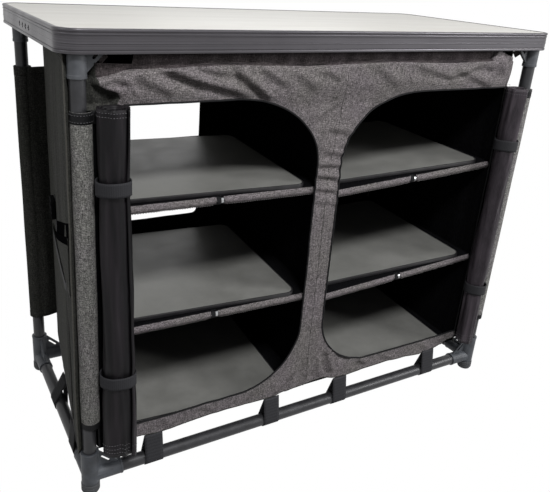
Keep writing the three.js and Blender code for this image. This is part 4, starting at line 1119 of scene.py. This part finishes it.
# The left wall's front edge turns in behind the leg, where the sleeve closes it below
def closeFrontCorner(place):
    inX, inY = wallShape["return"]

    def turned(across, up):
        return place(1, up) + Vector((inX * across, inY * across ** 1.6, 0))

    bm = bentGrid(5, wallShape["rows"], turned, (20 * mm, wallHeight))
    # Its outside is the melange darkened with painted shade
    clothPiece(bm, "wallFrontReturn", "melange_cloth", ["melangeShaded", "lining"], 1 * mm, inner=1)


def buildWalls():
    for name, wall in walls.items():
        end = "front" if wall["from"] == "rear" else "rear"
        bm, place = wallGrid(wall[wall["from"]], wall[end], wall["wave"], wall["slack"], wall["seed"],
                             wallShape["columns"])
        length = (Vector(wall["rear"]) - Vector(wall["front"])).length
        area = faceArea(bm) / 2
        slotName = "lining_cloth" if name == "divider" else "melange_cloth"
        piece = makePiece(bm, "wall_" + name, slotName, [wall["finish"], "lining"], [wall["node"]], 60)
        if name == "divider":
            continue
        if name == "left":
            closeFrontCorner(place)
        for up in wallShape["stitchRows"]:
            line = [place(n / 60, up) for n in range(61)]
            out = Vector((math.copysign(wallShape["stitchOut"], line[0].x), 0, 0))
            stitchRow("greyThread", [point + out for point in line])
        edge = [place(0 if end == "rear" else 1, n / 60) for n in range(61)]
        piping(edge, 1.3 * mm, "wallPiping_" + name, "melange_cloth", "wallEdge")
    print("walls")


backPanel = {"y": 205.15 * mm, "ends": (-431.5 * mm, 434.5 * mm), "window": (-392 * mm, -93 * mm),
             "windowHeight": (341 * mm, 694 * mm), "corner": 14 * mm, "wave": 2.6 * mm, "slack": 0.7,
             "seed": 17, "columns": 130, "stitchOut": 1 * mm}


def windowOutline():
    (fromX, toX), (fromZ, toZ) = backPanel["window"], backPanel["windowHeight"]
    r = backPanel["corner"]
    corners = ((toX - r, toZ - r, 0), (fromX + r, toZ - r, 90), (fromX + r, fromZ + r, 180),
               (toX - r, fromZ + r, 270))
    outline = []
    for centreX, centreZ, turn in corners:
        for n in range(7):
            angle = math.radians(turn + n * 15)
            outline.append((centreX + r * math.cos(angle), centreZ + r * math.sin(angle)))
    return subdivided(outline, 8 * mm)


def buildBackPanel():
    left, right = backPanel["ends"]
    y = backPanel["y"]
    bm, place = wallGrid((right, y), (left, y), backPanel["wave"], backPanel["slack"], backPanel["seed"],
                         backPanel["columns"])
    (fromX, toX), (fromZ, toZ) = backPanel["window"], backPanel["windowHeight"]
    hole = roundedPlate(toX - fromX, toZ - fromZ, backPanel["corner"], -30 * mm, 30 * mm, steps=8)
    seated(hole, Matrix.Translation(((fromX + toX) / 2, y, (fromZ + toZ) / 2)) @ quarterX)
    bm = combine(bm, hole, "DIFFERENCE")
    area = faceArea(bm) / 2
    # The back panel's outside is the melange darkened with painted shade
    piece = makePiece(bm, "backPanel", "melange_cloth", ["melangeShaded", "lining"], ["back_panel"], 60)

    def onBack(x, z, lift=0.0):
        up = (z - wallShape["hem"]) / wallHeight
        return place((right - x) / (right - left), up) + Vector((0, lift, 0))

    lift = backPanel["stitchOut"]
    outline = windowOutline()
    piping([onBack(x, z) for x, z in outline], 1.7 * mm, "windowPiping", "melange_cloth", closed=True)
    around = offsetOutline(outline, stitching["fromEdge"])
    stitchRow("greyThread", [onBack(x, z, lift) for x, z in around], closed=True)
    for z in (wallShape["hem"] + 9 * mm, bodyTop - 10 * mm):
        stitchRow("greyThread", [onBack(x * mm, z, lift) for x in range(-424, 429, 8)])
    for x, name in ((left + 2 * mm, "left"), (right - 2 * mm, "right")):
        seamLine = [onBack(x, wallShape["hem"] + n * 8 * mm) for n in range(85)]
        piping(seamLine, 1.5 * mm, "backPiping_" + name, "melange_cloth")
    print("back panel", round(area, 4), "m2")


# Sleeves round the legs

sleeve = {"radius": 16.3 * mm, "most": 16.8 * mm, "low": 142 * mm, "high": 691 * mm, "columns": 40,
          "rows": 90, "bindings": {"top": 17 * mm, "bottom": 12 * mm}, "lean": 3.6 * mm, "thickness": 1 * mm}
# The rear sleeves run on as a flat flap to the body's corner
sleeveFlap = {"left": -425 * mm, "right": 428 * mm, "in": 15.2 * mm, "rear": 207.3 * mm}


def sleeveRadius(angle, z, seed):
    soft = 0.5 * mm * noise.noise((math.cos(angle) * 1.3, math.sin(angle) * 1.3 + seed, z * 11))
    return min(sleeve["radius"] + soft - 0.3 * mm * ripple(z / (183 * mm)), sleeve["most"])


def flapGrid(centre, toX, seed, low, high):
    flapY = centre.y - sleeveFlap["in"]

    def place(across, up):
        x = centre.x + across * (toX - centre.x)
        z = low + up * (high - low)
        y = flapY + 1.3 * mm * noise.noise((across * 3, seed, z * 9)) * math.sin(math.pi * across)
        y += (sleeveFlap["rear"] - flapY) * smoothShare(across, 0.35, 0.95)
        return Vector((x, y, z))

    return bentGrid(14, 60, place, (abs(toX - centre.x), high - low))


def buildSleeves():
    low, high, columns = sleeve["low"], sleeve["high"], sleeve["columns"]
    girth = math.tau * sleeve["radius"]
    bindings = (("top", high - sleeve["bindings"]["top"], high - 0.2 * mm),
                ("bottom", low + 0.2 * mm, low + sleeve["bindings"]["bottom"]))
    for n, corner in enumerate(cornerTurns):
        centre = boxCentre("leg_" + corner)
        seed = 3.7 * n
        rear = "rear" in corner
        if corner == "front_left":
            centre.x += sleeve["lean"]        # pulled over towards the roll

        def around(fromZ, toZ, extra=0.0):
            def place(across, up):
                angle = across * math.tau
                z = fromZ + up * (toZ - fromZ)
                radius = sleeveRadius(angle, z, seed) + extra
                return Vector((centre.x + radius * math.cos(angle), centre.y + radius * math.sin(angle), z))
            return place

        bm = ringGrid(columns, sleeve["rows"], around(low, high), (girth, high - low))
        if rear:
            bm = merged(bm, flapGrid(centre, sleeveFlap[corner.split("_")[1]], seed, low, high))
        # The rear sleeves and their bindings take the melange darkened with painted shade
        clothPiece(bm, "sleeve_" + corner, "melange_cloth", ["melangeShaded" if rear else "melangePale"],
                   sleeve["thickness"], ["leg_sleeve_" + corner], -1)
        for name, fromZ, toZ in bindings:
            band = ringGrid(columns, 4, around(fromZ, toZ, 0.35 * mm), (girth, toZ - fromZ))
            clothPiece(band, f"sleeveBinding_{name}_{corner}", "door_cloth",
                       ["melangeShaded" if rear else "binding"], sleeve["thickness"], offset=-1)
        if not rear:
            for z in (high - 4 * mm, bindings[0][1] + 3 * mm):
                ring = around(z, z + 1 * mm, 0.6 * mm)
                stitchRow("greyThread", [ring(k / 36, 0) for k in range(36)], closed=True)
    print("sleeves")


# Doors, each rolled up beside its opening and held by two straps

roll = {"turns": 4.25, "inner": 3.6 * mm, "outer": 21.4 * mm, "thickness": 2.2 * mm, "columns": 170,
        "rows": 96, "inset": 16 * mm, "flatTurn": math.radians(150), "slumpTurn": 0.35,
        "slumpFrom": (0.1, 0.6)}
# The left roll is pressed flat towards its leg, wider on that side, and slumps at its foot
rolls = {
    "left": {"side": -1, "start": 40, "short": 11 * mm, "finish": "door", "seed": 17, "wide": 1.13,
             "flat": 0.2, "slump": 0.33},
    # The right roll takes the door cloth lightened with painted light
    "right": {"side": 1, "start": 185, "short": 27 * mm, "finish": "doorLit", "seed": 25, "wide": 1,
              "flat": 0, "slump": 0},
}
# The stitch rows round a roll's last turn: each one's share of the height, and how much it slants
rollStitches = ((0.991, 0), (0.981, 0), (0.012, 0.004), (0.022, 0.007), (0.034, 0.009))
doorStrap = {"radius": 23.1 * mm, "width": 22.4 * mm, "thickness": 1.1 * mm, "bow": 0.9 * mm}


def rollSurface(angle, z, seed, straps):
    x, y = math.cos(angle), math.sin(angle)
    wide = 2.2 * noise.noise((x * 1.1, y * 1.1 + seed, z * 6))
    folds = 1.1 * noise.noise((x * 2.6, y * 2.6 + seed, z * 11))
    line = abs(noise.noise((x * 1.9 + 5, y * 1.9 + seed, z * 4.2)))
    crease = -1.5 * math.exp(-(line / 0.05) ** 2)
    flutes = 1.3 * math.sin(6 * angle + 5 * noise.noise((x * 0.8, y * 0.8 + seed, z * 4)))
    pinch = 1.6 * sum(math.exp(-((z - strap) / (20 * mm)) ** 2) for strap in straps)
    return (wide + folds + flutes + crease - pinch) * mm


# From a roll's axis to a point at an angle, pressed and slumped as the real one is
def rollOut(door, angle, radius, z):
    stretch = door["wide"] if math.cos(angle) < 0 else 1
    press = 1 + door["flat"] * max(0, math.cos(angle - roll["flatTurn"])) ** 3
    low = 1 - smoothShare(z, *roll["slumpFrom"])
    press += door["slump"] * (low * max(0, math.cos(angle + roll["slumpTurn"])) ** 2)
    return Vector((radius * math.cos(angle) * stretch, radius * math.sin(angle), 0)) * press


def buildDoors():
    for name, door in rolls.items():
        node = "door_roll_" + name
        low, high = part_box(node)
        side, seed, start = door["side"], door["seed"], math.radians(door["start"])
        strapNodes = {level: f"door_strap_{name}_{level}" for level in ("lower", "upper")}
        straps = [boxCentre(strapNode).z for strapNode in strapNodes.values()]
        centre = boxCentre(strapNodes["upper"])
        centre.z = 0

        def place(across, up):
            angle = start + side * across * roll["turns"] * math.tau
            inset = roll["inset"] * (1 - across) ** 1.5
            bottom = low.z + door["short"] + 3 * mm * math.sin(angle * 0.5)
            z = bottom + inset + up * (high.z - bottom - 1.4 * inset) + 0.5 * mm
            spiral = roll["inner"] + (roll["outer"] - roll["inner"]) * across
            radius = spiral + rollSurface(angle, z, seed, straps) * spiral / roll["outer"]
            return centre + rollOut(door, angle, radius, z) + Vector((0, 0, min(z, high.z - 0.6 * mm)))

        length = roll["turns"] * math.pi * (roll["inner"] + roll["outer"])
        bm = bentGrid(roll["columns"], roll["rows"], place, (length, high.z - low.z))
        if side < 0:
            bmesh.ops.reverse_faces(bm, faces=bm.faces)
        area = faceArea(bm)
        piece = clothPiece(bm, "doorRoll_" + name, "door_cloth", [door["finish"]], roll["thickness"], [node],
                           -0.6)
        lastTurn = 1 - 1 / roll["turns"]
        for up, slant in rollStitches:
            ring = []
            for k in range(61):
                point = place(lastTurn + (1 - lastTurn) * k / 60,
                              up + slant * math.sin(math.tau * k / 60 + 0.8) * 0.9)
                outwards = (point - Vector((centre.x, centre.y, point.z))).normalized()
                ring.append(point + outwards * 0.5 * mm)
            stitchRow("greyThread", ring)

        for (level, strapNode), z in zip(strapNodes.items(), straps):
            def band(across, up):
                angle = up * math.tau
                waver = 0.25 * mm * noise.noise((math.cos(angle), math.sin(angle), z * 40))
                bow = doorStrap["bow"] * math.sin(angle * 2 + seed)
                height = z + (across - 0.5) * doorStrap["width"] + bow
                out = rollOut(door, angle, doorStrap["radius"] + waver, height)
                return centre + out + Vector((0, 0, height))

            strap = ringGrid(6, 56, band, (doorStrap["width"], math.tau * doorStrap["radius"]))
            bmesh.ops.reverse_faces(strap, faces=strap.faces)
            clothPiece(strap, f"doorStrap_{name}_{level}", "webbing", ["strap"], doorStrap["thickness"],
                       [strapNode], -1)
    print("doors")


# Shelves: a cloth with a hem round its front tube, and a loose board on it

shelf = {"tubeY": -181.85 * mm, "rear": 203.2 * mm, "hemRadius": 7.1 * mm, "hemTurn": 255, "gap": 13 * mm,
         "thickness": 1 * mm, "inside": 1.4 * mm, "sag": 1.6 * mm, "lift": 7 * mm, "tilt": 3.0, "columns": 90,
         "rows": (44, 14), "belowBoard": 0.8 * mm, "legSide": (-455 * mm, 32 * mm, 20 * mm)}
shelfSeeds = {"floor": 1, "middle": 5, "top": 9, "left": 0, "right": 20}
shelfBoard = {"width": {"left": 372 * mm, "right": 371.95 * mm}, "depth": 355 * mm, "thickness": 7 * mm,
              "corner": 22 * mm, "edge": 0.9 * mm, "band": 2.2 * mm, "yaw": -4.5}
hemWebbing = {"width": 9 * mm, "lift": 1.1 * mm, "lean": 2.5 * mm, "thickness": 0.8 * mm}


# Each shelf's column and level, the walls beside it, and the tilt that the right column's upper ones hang at
def shelfFloors():
    for column, sides in (("left", ("left", "divider")), ("right", ("divider", "right"))):
        for level in ("floor", "middle", "top"):
            tilted = column == "right" and level != "floor"
            yield column, level, sides, math.radians(shelf["tilt"]) if tilted else 0


def buildShelves():
    for column, level, (leftWall, rightWall), tilt in shelfFloors():
        clothNode, boardNode, tubeNode = (
            f"shelf_{kind}_{column}_{level}" for kind in ("cloth", "board", "tube"))
        hemmed = level != "floor"
        board = boxCentre(boardNode)
        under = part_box(boardNode)[0].z
        if tilt:
            under = board.z - shelfBoard["thickness"] / 2 / math.cos(tilt)
        sheetZ = under - shelf["belowBoard"] - shelf["thickness"] / 2
        front, rear, radius = shelf["tubeY"], shelf["rear"], shelf["hemRadius"]
        gapX = boxCentre(tubeNode).x if hemmed else 0
        seed = shelfSeeds[level] + shelfSeeds[column]
        arc = radius * math.radians(shelf["hemTurn"]) if hemmed else 0
        run = rear - front + (0 if hemmed else 6 * mm)
        total = run + arc

        def place(across, up):
            travelled = up * total
            if travelled <= run:
                y = rear - travelled
                ease = math.sin(math.pi * travelled / run)
                z = sheetZ + (0.35 * noise.noise((across * 6, seed, travelled * 12)) - 0.2) * mm * ease
            else:
                angle = (travelled - run) / radius
                y = front - radius * math.sin(angle)
                z = sheetZ - radius + radius * math.cos(angle)
            fromX = wallX(leftWall, y) + shelf["inside"]
            if column == "left":
                # The hem's left end goes in behind the leg
                endX, back, fade = shelf["legSide"]
                fromX = max(fromX, endX - back * smoothShare(y, front, front + fade))
            x = fromX + across * (wallX(rightWall, y) - shelf["inside"] - fromX)
            if travelled > run:
                near = math.exp(-(((x - gapX) / (26 * mm)) ** 2))
                swell = 0.5 * mm * noise.noise((x * 55, seed, travelled * 60))
                shift = swell + near * 0.7 * mm * math.sin(x / (2.4 * mm) + 5 * math.sin(travelled * 90))
                y -= shift * math.sin(angle)
                z += shift * math.cos(angle)
                sag = shelf["sag"] * (1 - near) * math.sin(math.pi * across)
                z -= sag * smoothShare(angle, 1.2, 3.2) * 0.5
            if hemmed and column == "left":
                z += shelf["lift"] * (1 - across) * (1 - smoothShare(y, front, front + 22 * mm))
            return Vector((x, y, z + math.tan(tilt) * (x - board.x)))

        hemFrom = (run + 2.2 * mm) / total
        rows = shelf["rows"][0] + (shelf["rows"][1] if hemmed else 0)
        width = wallX(rightWall, front) - wallX(leftWall, front)
        bm = bentGrid(shelf["columns"], rows, place, (width, total),
                      lambda across, up: 0 if hemmed and up > hemFrom else 1)
        bmesh.ops.reverse_faces(bm, faces=bm.faces)
        if hemmed:
            gone = []
            for face in bm.faces:
                middle = face.calc_center_median()
                inHem = (middle.y < front - 1 * mm
                         or middle.z < sheetZ - 9 * mm + math.tan(tilt) * (gapX - board.x))
                if inHem and abs(middle.x - gapX) < shelf["gap"] / 2:
                    gone.append(face)
            bmesh.ops.delete(bm, geom=gone, context="FACES")
        area = faceArea(bm)
        piece = clothPiece(bm, f"shelfCloth_{column}_{level}", "melange_cloth" if hemmed else "lining_cloth",
                           ["melange", "lining"], shelf["thickness"], [clothNode])
        if hemmed:
            hemLine = [place(n / 90, (run + radius * 2.6) / total) for n in range(91)]
            hemLine = [point + Vector((0, -0.6 * mm, -0.4 * mm)) for point in hemLine
                       if abs(point.x - gapX) > shelf["gap"] / 2 + 3 * mm]
            stitchRow("paleThread", [point for point in hemLine if point.x < gapX])
            stitchRow("paleThread", [point for point in hemLine if point.x > gapX])
            buildShelfTube(column, level, tilt, tubeNode)
    print("shelves")


# A hem's tube, and the webbing that holds it and crosses the gap in the hem
def buildShelfTube(column, level, tilt, node):
    low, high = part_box(node)
    radius = tubes["shelfRadius"]
    length = (high.x - low.x) / math.cos(tilt) - 2 * radius * math.sin(tilt)
    centre = boxCentre(node)
    slope = math.tan(tilt)
    if column == "left":
        slope = -shelf["lift"] / length
        centre.z += shelf["lift"] / 2
    turn = Matrix.Rotation(math.pi / 2 - math.atan(slope), 4, "Y")
    bm = seated(tubeShape(radius, tubes["shelfWall"], length, 24), Matrix.Translation(centre) @ turn)
    makePiece(bm, f"shelfTube_{column}_{level}", "coated_tube", ["plated"], [node])
    along = Vector((math.cos(tilt), 0, math.sin(tilt)))

    def wrap(across, up):
        angle = up * math.tau
        out = radius + hemWebbing["lift"] + 0.4 * mm * math.sin(3 * angle)
        lean = (across - 0.5) * hemWebbing["width"] + hemWebbing["lean"] * math.sin(angle)
        return centre + along * lean + Vector((-math.sin(tilt) * out * math.cos(angle), out * math.sin(angle),
                                               math.cos(tilt) * out * math.cos(angle)))

    band = ringGrid(4, 30, wrap, (hemWebbing["width"], math.tau * (radius + hemWebbing["lift"])))
    bmesh.ops.recalc_face_normals(band, faces=band.faces)
    clothPiece(band, f"hemWebbing_{column}_{level}", "webbing", ["blackWebbing"], hemWebbing["thickness"])


def buildBoards():
    half = shelfBoard["thickness"] / 2
    for column, level, _, tilt in shelfFloors():
        node = f"shelf_board_{column}_{level}"
        bm = roundedPlate(shelfBoard["width"][column], shelfBoard["depth"], shelfBoard["corner"], -half, half,
                          shelfBoard["edge"])
        bm.faces.ensure_lookup_table()
        for face in bm.faces:
            face.material_index = 0 if abs(face.normal.z) > 0.98 and face.calc_area() > 0.01 else 1
        # The edge band's finish runs a little way over both faces, round the foil
        big = [face for face in bm.faces if face.material_index == 0]
        made = bmesh.ops.inset_region(bm, faces=big, thickness=shelfBoard["band"], depth=0)
        for face in made["faces"]:
            face.material_index = 1
        yaw = Matrix.Rotation(math.radians(shelfBoard["yaw"]), 4, "Z")
        seated(bm, Matrix.Translation(boxCentre(node)) @ Matrix.Rotation(-tilt, 4, "Y") @ yaw)
        name = f"board_{column}_{level}"
        makePiece(bm, name, "grey_board", ["board", "edgeBand"], [node], 35, name)
    print("boards")


# Webbing loops from the hem round the bottom rails

loops = {"width": 35 * mm, "radius": 13 * mm, "thickness": 1.1 * mm, "rail": 35 * mm, "hem": 88.2 * mm}
loopPlaces = {
    "front": [-353 * mm, -100 * mm, 71 * mm, 326 * mm], "rear": [-340 * mm, -115 * mm, 115 * mm, 340 * mm],
    "left": [-104.85 * mm, 40.15 * mm], "right": [-104.85 * mm, 40.15 * mm],
}


# The way round a tube from a point above it: points on both runs and on the round between them
def loopPath(hem, centre, radius, steps=26):
    away = hem - centre
    spread = math.acos(min(1, radius / away.length))
    bearing = math.atan2(away.y, away.x)
    start, end = bearing + spread, bearing - spread + math.tau
    arc = [centre + radius * Vector((math.cos(a), math.sin(a)))
           for a in (start + (end - start) * n / steps for n in range(steps + 1))]
    return [hem.lerp(arc[0], n / 6) for n in range(6)] + arc + [arc[-1].lerp(hem, n / 6) for n in range(1, 7)]


def bandAlong(path, width, toPoint):
    last = len(path) - 1
    length = sum((end - start).length for start, end in zip(path, path[1:]))
    return bentGrid(6, last, lambda across, up: toPoint(path[round(up * last)], (across - 0.5) * width),
                    (width, length))


def buildLoops():
    for side, places in loopPlaces.items():
        rail = boxCentre("bottom_rail_" + side)
        alongX = side in ("front", "rear")
        parts = []
        for place in places:
            if alongX:
                hem, centre = panelFront - 0.2 * mm if side == "front" else backPanel["y"], rail.y
            else:
                hem, centre = wallX(side, place), rail.x
            path = loopPath(Vector((hem, loops["hem"])), Vector((centre, loops["rail"])), loops["radius"])

            def toPoint(point, out):
                x, y = (place + out, point.x) if alongX else (point.x, place + out)
                return Vector((x, y, point.y))

            bm = bandAlong(path, loops["width"], toPoint)
            bmesh.ops.recalc_face_normals(bm, faces=bm.faces)
            parts.append(bm)
        clothPiece(merged(*parts), "railLoops_" + side, "webbing", ["webbing" if alongX else "blackWebbing"],
                   loops["thickness"], ["rail_loops_" + side])
    print("rail loops")


# Hanger straps from the body's upper corners through the slots of the upper gussets

hanger = {"width": 15 * mm, "run": 17 * mm, "thickness": 1.1 * mm, "slot": (-439.9 * mm, 771.3 * mm),
          "gap": 2.3 * mm, "slope": (0.72, 0.69), "behindPanel": 12 * mm, "behindBack": 1 * mm}


def buildHangers():
    gap, run = hanger["gap"], hanger["run"]
    slotX, slotZ = hanger["slot"]
    slopeX, slopeZ = hanger["slope"]
    for corner in cornerTurns:
        inwards = 1 if "left" in corner else -1
        front = "front" in corner
        legY = boxCentre("leg_" + corner).y
        clothY = panelFront + hanger["behindPanel"] if front else backPanel["y"] + hanger["behindBack"]
        slot = Vector((slotX * inwards, 0, slotZ))
        down = Vector((slopeX * inwards, 0, -slopeZ))
        along = Vector((slopeZ * inwards, 0, slopeX))
        path = []
        # The run before the slot shows only at the rear: at the front the strap starts in the slot
        for n in range(0 if front else 9):
            share = n / 8
            out = -gap + (clothY - legY + gap) * (1 - share) ** 1.5
            path.append(slot + down * run * (1 - share) + Vector((0, legY + out, 0)))
        for n in range(1, 8):
            angle = n / 8 * math.pi
            through = Vector((0, legY - gap * math.cos(angle), 0))
            path.append(slot - down * gap * math.sin(angle) * 0.6 + through)
        for n in range(9):
            share = n / 8
            out = gap + (clothY - legY + 1.4 * mm - gap) * share ** 1.5
            path.append(slot + down * run * share + Vector((0, legY + out, 0)))
        last = len(path) - 1
        bm = bentGrid(
            4, last, lambda across, up: path[round(up * last)] + along * hanger["width"] * (across - 0.5),
            (hanger["width"], 2 * run))
        bmesh.ops.recalc_face_normals(bm, faces=bm.faces)
        # The straps take the band's melange, darkened with painted shade
        clothPiece(bm, "hangerStrap_" + corner, "webbing", ["melangeBandShade"], hanger["thickness"])
    print("hanger straps")


# Flat pocket on the left wall with a bound mouth, and a buckle strap over it

pocket = {"ends": (-133.5 * mm, 133.5 * mm), "low": 119 * mm, "high": 391 * mm, "out": 3.4 * mm,
          "sag": 7 * mm, "clear": 1.2 * mm, "binding": 15 * mm, "stitchOut": 0.8 * mm}
# The slanting upper mouth: from and to in Y, its top's height at the front end and its rise from there
pocketMouth = {"ends": (66, -177), "top": (400, 92), "height": 80 * mm, "binding": 13 * mm, "inner": 24 * mm,
               "trim": 0.9 * mm}
buckle = {"width": 25 * mm, "web": (392.5 * mm, 474.5 * mm), "height": 452 * mm, "lift": 2.2 * mm,
          "body": (42 * mm, 37 * mm, 5 * mm), "thickness": 8.5 * mm, "edge": 2.2 * mm,
          "ridge": (34 * mm, 3.4 * mm, 1.5 * mm),
          "ridges": ((-11 * mm, 9.7 * mm), (0, 9.3 * mm), (11 * mm, 9.7 * mm))}
pocketSlope = (wallX("left", pocket["ends"][1]) - wallX("left", pocket["ends"][0])) / (
    pocket["ends"][1] - pocket["ends"][0])
pocketOut = Vector((-1, pocketSlope, 0)).normalized()


def pocketPlace(across, up):
    fromY, toY = pocket["ends"]
    y = toY + (fromY - toY) * across
    z = pocket["low"] + up * (pocket["high"] - pocket["low"])
    edge = min(smoothShare(across, 0, 0.08), smoothShare(1 - across, 0, 0.08), smoothShare(up, 0, 0.06))
    belly = (0.25 + 0.75 * edge) * pocket["out"] * (0.55 + 0.45 * math.sin(math.pi * up * 0.8 + 0.3))
    soft = 0.7 * mm * noise.noise((across * 5, 31, up * 6))
    z -= pocket["sag"] * math.sin(math.pi * across) * smoothShare(up, 0.75, 1)
    return Vector((wallX("left", y), y, z)) + pocketOut * (pocket["clear"] + belly + soft * edge)


def buildPocket():
    fromY, toY = pocket["ends"]
    flat = (toY - fromY, pocket["high"] - pocket["low"])
    bm = bentGrid(60, 48, pocketPlace, flat)
    area = faceArea(bm)
    # The pocket's outside is the melange darkened with painted shade
    piece = clothPiece(bm, "sidePocket", "melange_cloth", ["melangeShaded", "lining"], 1 * mm, ["side_pocket"],
                       -0.4, 1)
    mouth = bentGrid(
        60, 5, lambda across, up: pocketPlace(across, 1 - 0.055 * (1 - up)) + pocketOut * 0.7 * mm,
        (flat[0], pocket["binding"]))
    clothPiece(mouth, "pocketBinding", "door_cloth", ["binding"], 0.9 * mm)
    lift = pocketOut * pocket["stitchOut"]
    for share in (0.02, 0.98):
        stitchRow("greyThread", [pocketPlace(share, n / 40) + lift for n in range(38)])
    stitchRow("greyThread", [pocketPlace(n / 60, 0.02) + lift for n in range(61)])


# Above its seam the pocket runs on as a slanting, gaping mouth with a black binding
def mouthPlace(across, up, extra=0.0):
    fromY, toY = pocketMouth["ends"]
    low, (start, rise) = pocket["high"], pocketMouth["top"]
    y = fromY * mm + (toY - fromY) * mm * across
    z = low + 1 * mm + ((start + rise * across) * mm - low) * up
    swell = (2 + 2.5 * math.sin(math.pi * across) * up) * mm + extra
    return Vector((wallX("left", y), y, z)) + pocketOut * swell


def buildPocketMouth():
    width = pocket["ends"][1] - pocket["ends"][0]
    height, bindingHeight, innerHeight = pocketMouth["height"], pocketMouth["binding"], pocketMouth["inner"]

    def edge(across, up):
        return mouthPlace(across, 1, 0.8 * mm) + Vector((0, 0, (up - 0.9) * bindingHeight))

    def inside(across, up):
        rise = up * innerHeight * min(1, 6 * across)
        return mouthPlace(across, 1) + Vector((0, 0, rise)) - pocketOut * 1.2 * mm

    # The mouth's outside is the melange darkened with painted shade
    clothPiece(bentGrid(50, 14, mouthPlace, (width, height)), "pocketMouth", "melange_cloth",
               ["melangeShaded", "lining"], 1 * mm, inner=1)
    clothPiece(bentGrid(50, 4, edge, (width, bindingHeight)), "pocketMouthBinding", "door_cloth", ["lining"],
               pocketMouth["trim"])
    clothPiece(bentGrid(50, 6, inside, (width, innerHeight)), "pocketInner", "lining_cloth", ["lining"],
               pocketMouth["trim"])
    stitchRow("paleThread", [mouthPlace(n / 60, 0, 0.9 * mm) for n in range(61)])


def buildBuckle():
    middleY = boxCentre("side_strap_buckle").y
    low, high = buckle["web"]

    def web(across, up):
        z = low + up * (high - low)
        lift = 1.0 * mm + 1.2 * mm * math.exp(-((z - 450 * mm) / (16 * mm)) ** 2)
        y = middleY + (0.5 - across) * buckle["width"]
        return Vector((wallX("left", y), y, z)) + pocketOut * lift

    strap = bentGrid(8, 30, web, (buckle["width"], high - low))
    clothPiece(strap, "buckleWebbing", "webbing", ["blackWebbing"], 1 * mm, ["side_strap_buckle"])
    body = roundedPlate(*buckle["body"], 0, buckle["thickness"], buckle["edge"], 6)
    for place, top in buckle["ridges"]:
        ridge = roundedPlate(*buckle["ridge"], 7 * mm, top, 0.6 * mm, 5)
        bmesh.ops.translate(ridge, vec=(0, place, 0), verts=ridge.verts)
        body = combine(body, ridge, "UNION")
    across = Vector((pocketSlope, 1, 0)).normalized() * -1
    turn = Matrix((across, Vector((0, 0, 1)), pocketOut)).transposed().to_4x4()
    place = Vector((wallX("left", middleY), middleY, buckle["height"])) + pocketOut * buckle["lift"]
    seated(body, Matrix.Translation(place) @ turn)
    bmesh.ops.recalc_face_normals(body, faces=body.faces)
    makePiece(body, "buckle", "moulded_plastic", ["blackMatteAndVentShade"], sharp=35)
    print("pocket")


# Floor and background: the camera and mirrors see white, and the object stands on a shaded floor

studio = {"floorSize": 40, "floorTone": "#5a5a58", "worldFill": 0.14}


# Share of the rays that see white instead of the lit floor or the world's fill light
def whiteRays(tree):
    path = addNode(tree, "LightPath").outputs
    seen = addNode(tree, "Math", {0: path["Is Camera Ray"], 1: path["Is Glossy Ray"]}, operation="MAXIMUM")
    seen = addNode(tree, "Math", {0: seen.outputs[0], 1: path["Is Transmission Ray"]}, operation="MAXIMUM")
    return seen.outputs[0]


def floorMaterial():
    material, tree, shader, _ = newMaterial("studio_floor", 0.9, 0.5)
    shader.inputs["Base Color"].default_value = linear(studio["floorTone"])
    white = addNode(tree, "Emission", {"Color": (1, 1, 1, 1), "Strength": 1.0})
    blend = addNode(tree, "MixShader", {0: whiteRays(tree), 1: shader.outputs["BSDF"],
                                        2: white.outputs["Emission"]})
    tree.links.new(blend.outputs["Shader"], tree.nodes["Material Output"].inputs["Surface"])
    return material


def buildStage():
    bm = bmesh.new()
    bmesh.ops.create_grid(bm, x_segments=1, y_segments=1, size=studio["floorSize"] / 2)
    floor = looseMesh(bm, "studioFloor")
    floor.data.materials.append(floorMaterial())
    world = bpy.data.worlds.new("studio")
    scene.world = world
    world.use_nodes = True
    tree = world.node_tree
    background = tree.nodes["Background"]
    strength = addNode(tree, "MapRange", {"Value": whiteRays(tree), "To Min": studio["worldFill"],
                                          "To Max": 1.0})
    background.inputs["Color"].default_value = (1, 1, 1, 1)
    tree.links.new(strength.outputs["Result"], background.inputs["Strength"])


scene.view_settings.view_transform = "Standard"
addCamera()
addLamps()
buildStage()
buildWorktop()
buildTubes()
buildFittings()
buildFrontPanel()
buildWalls()
buildBackPanel()
buildSleeves()
buildDoors()
buildShelves()
buildBoards()
buildLoops()
buildHangers()
buildPocket()
buildPocketMouth()
buildBuckle()
buildStitches()
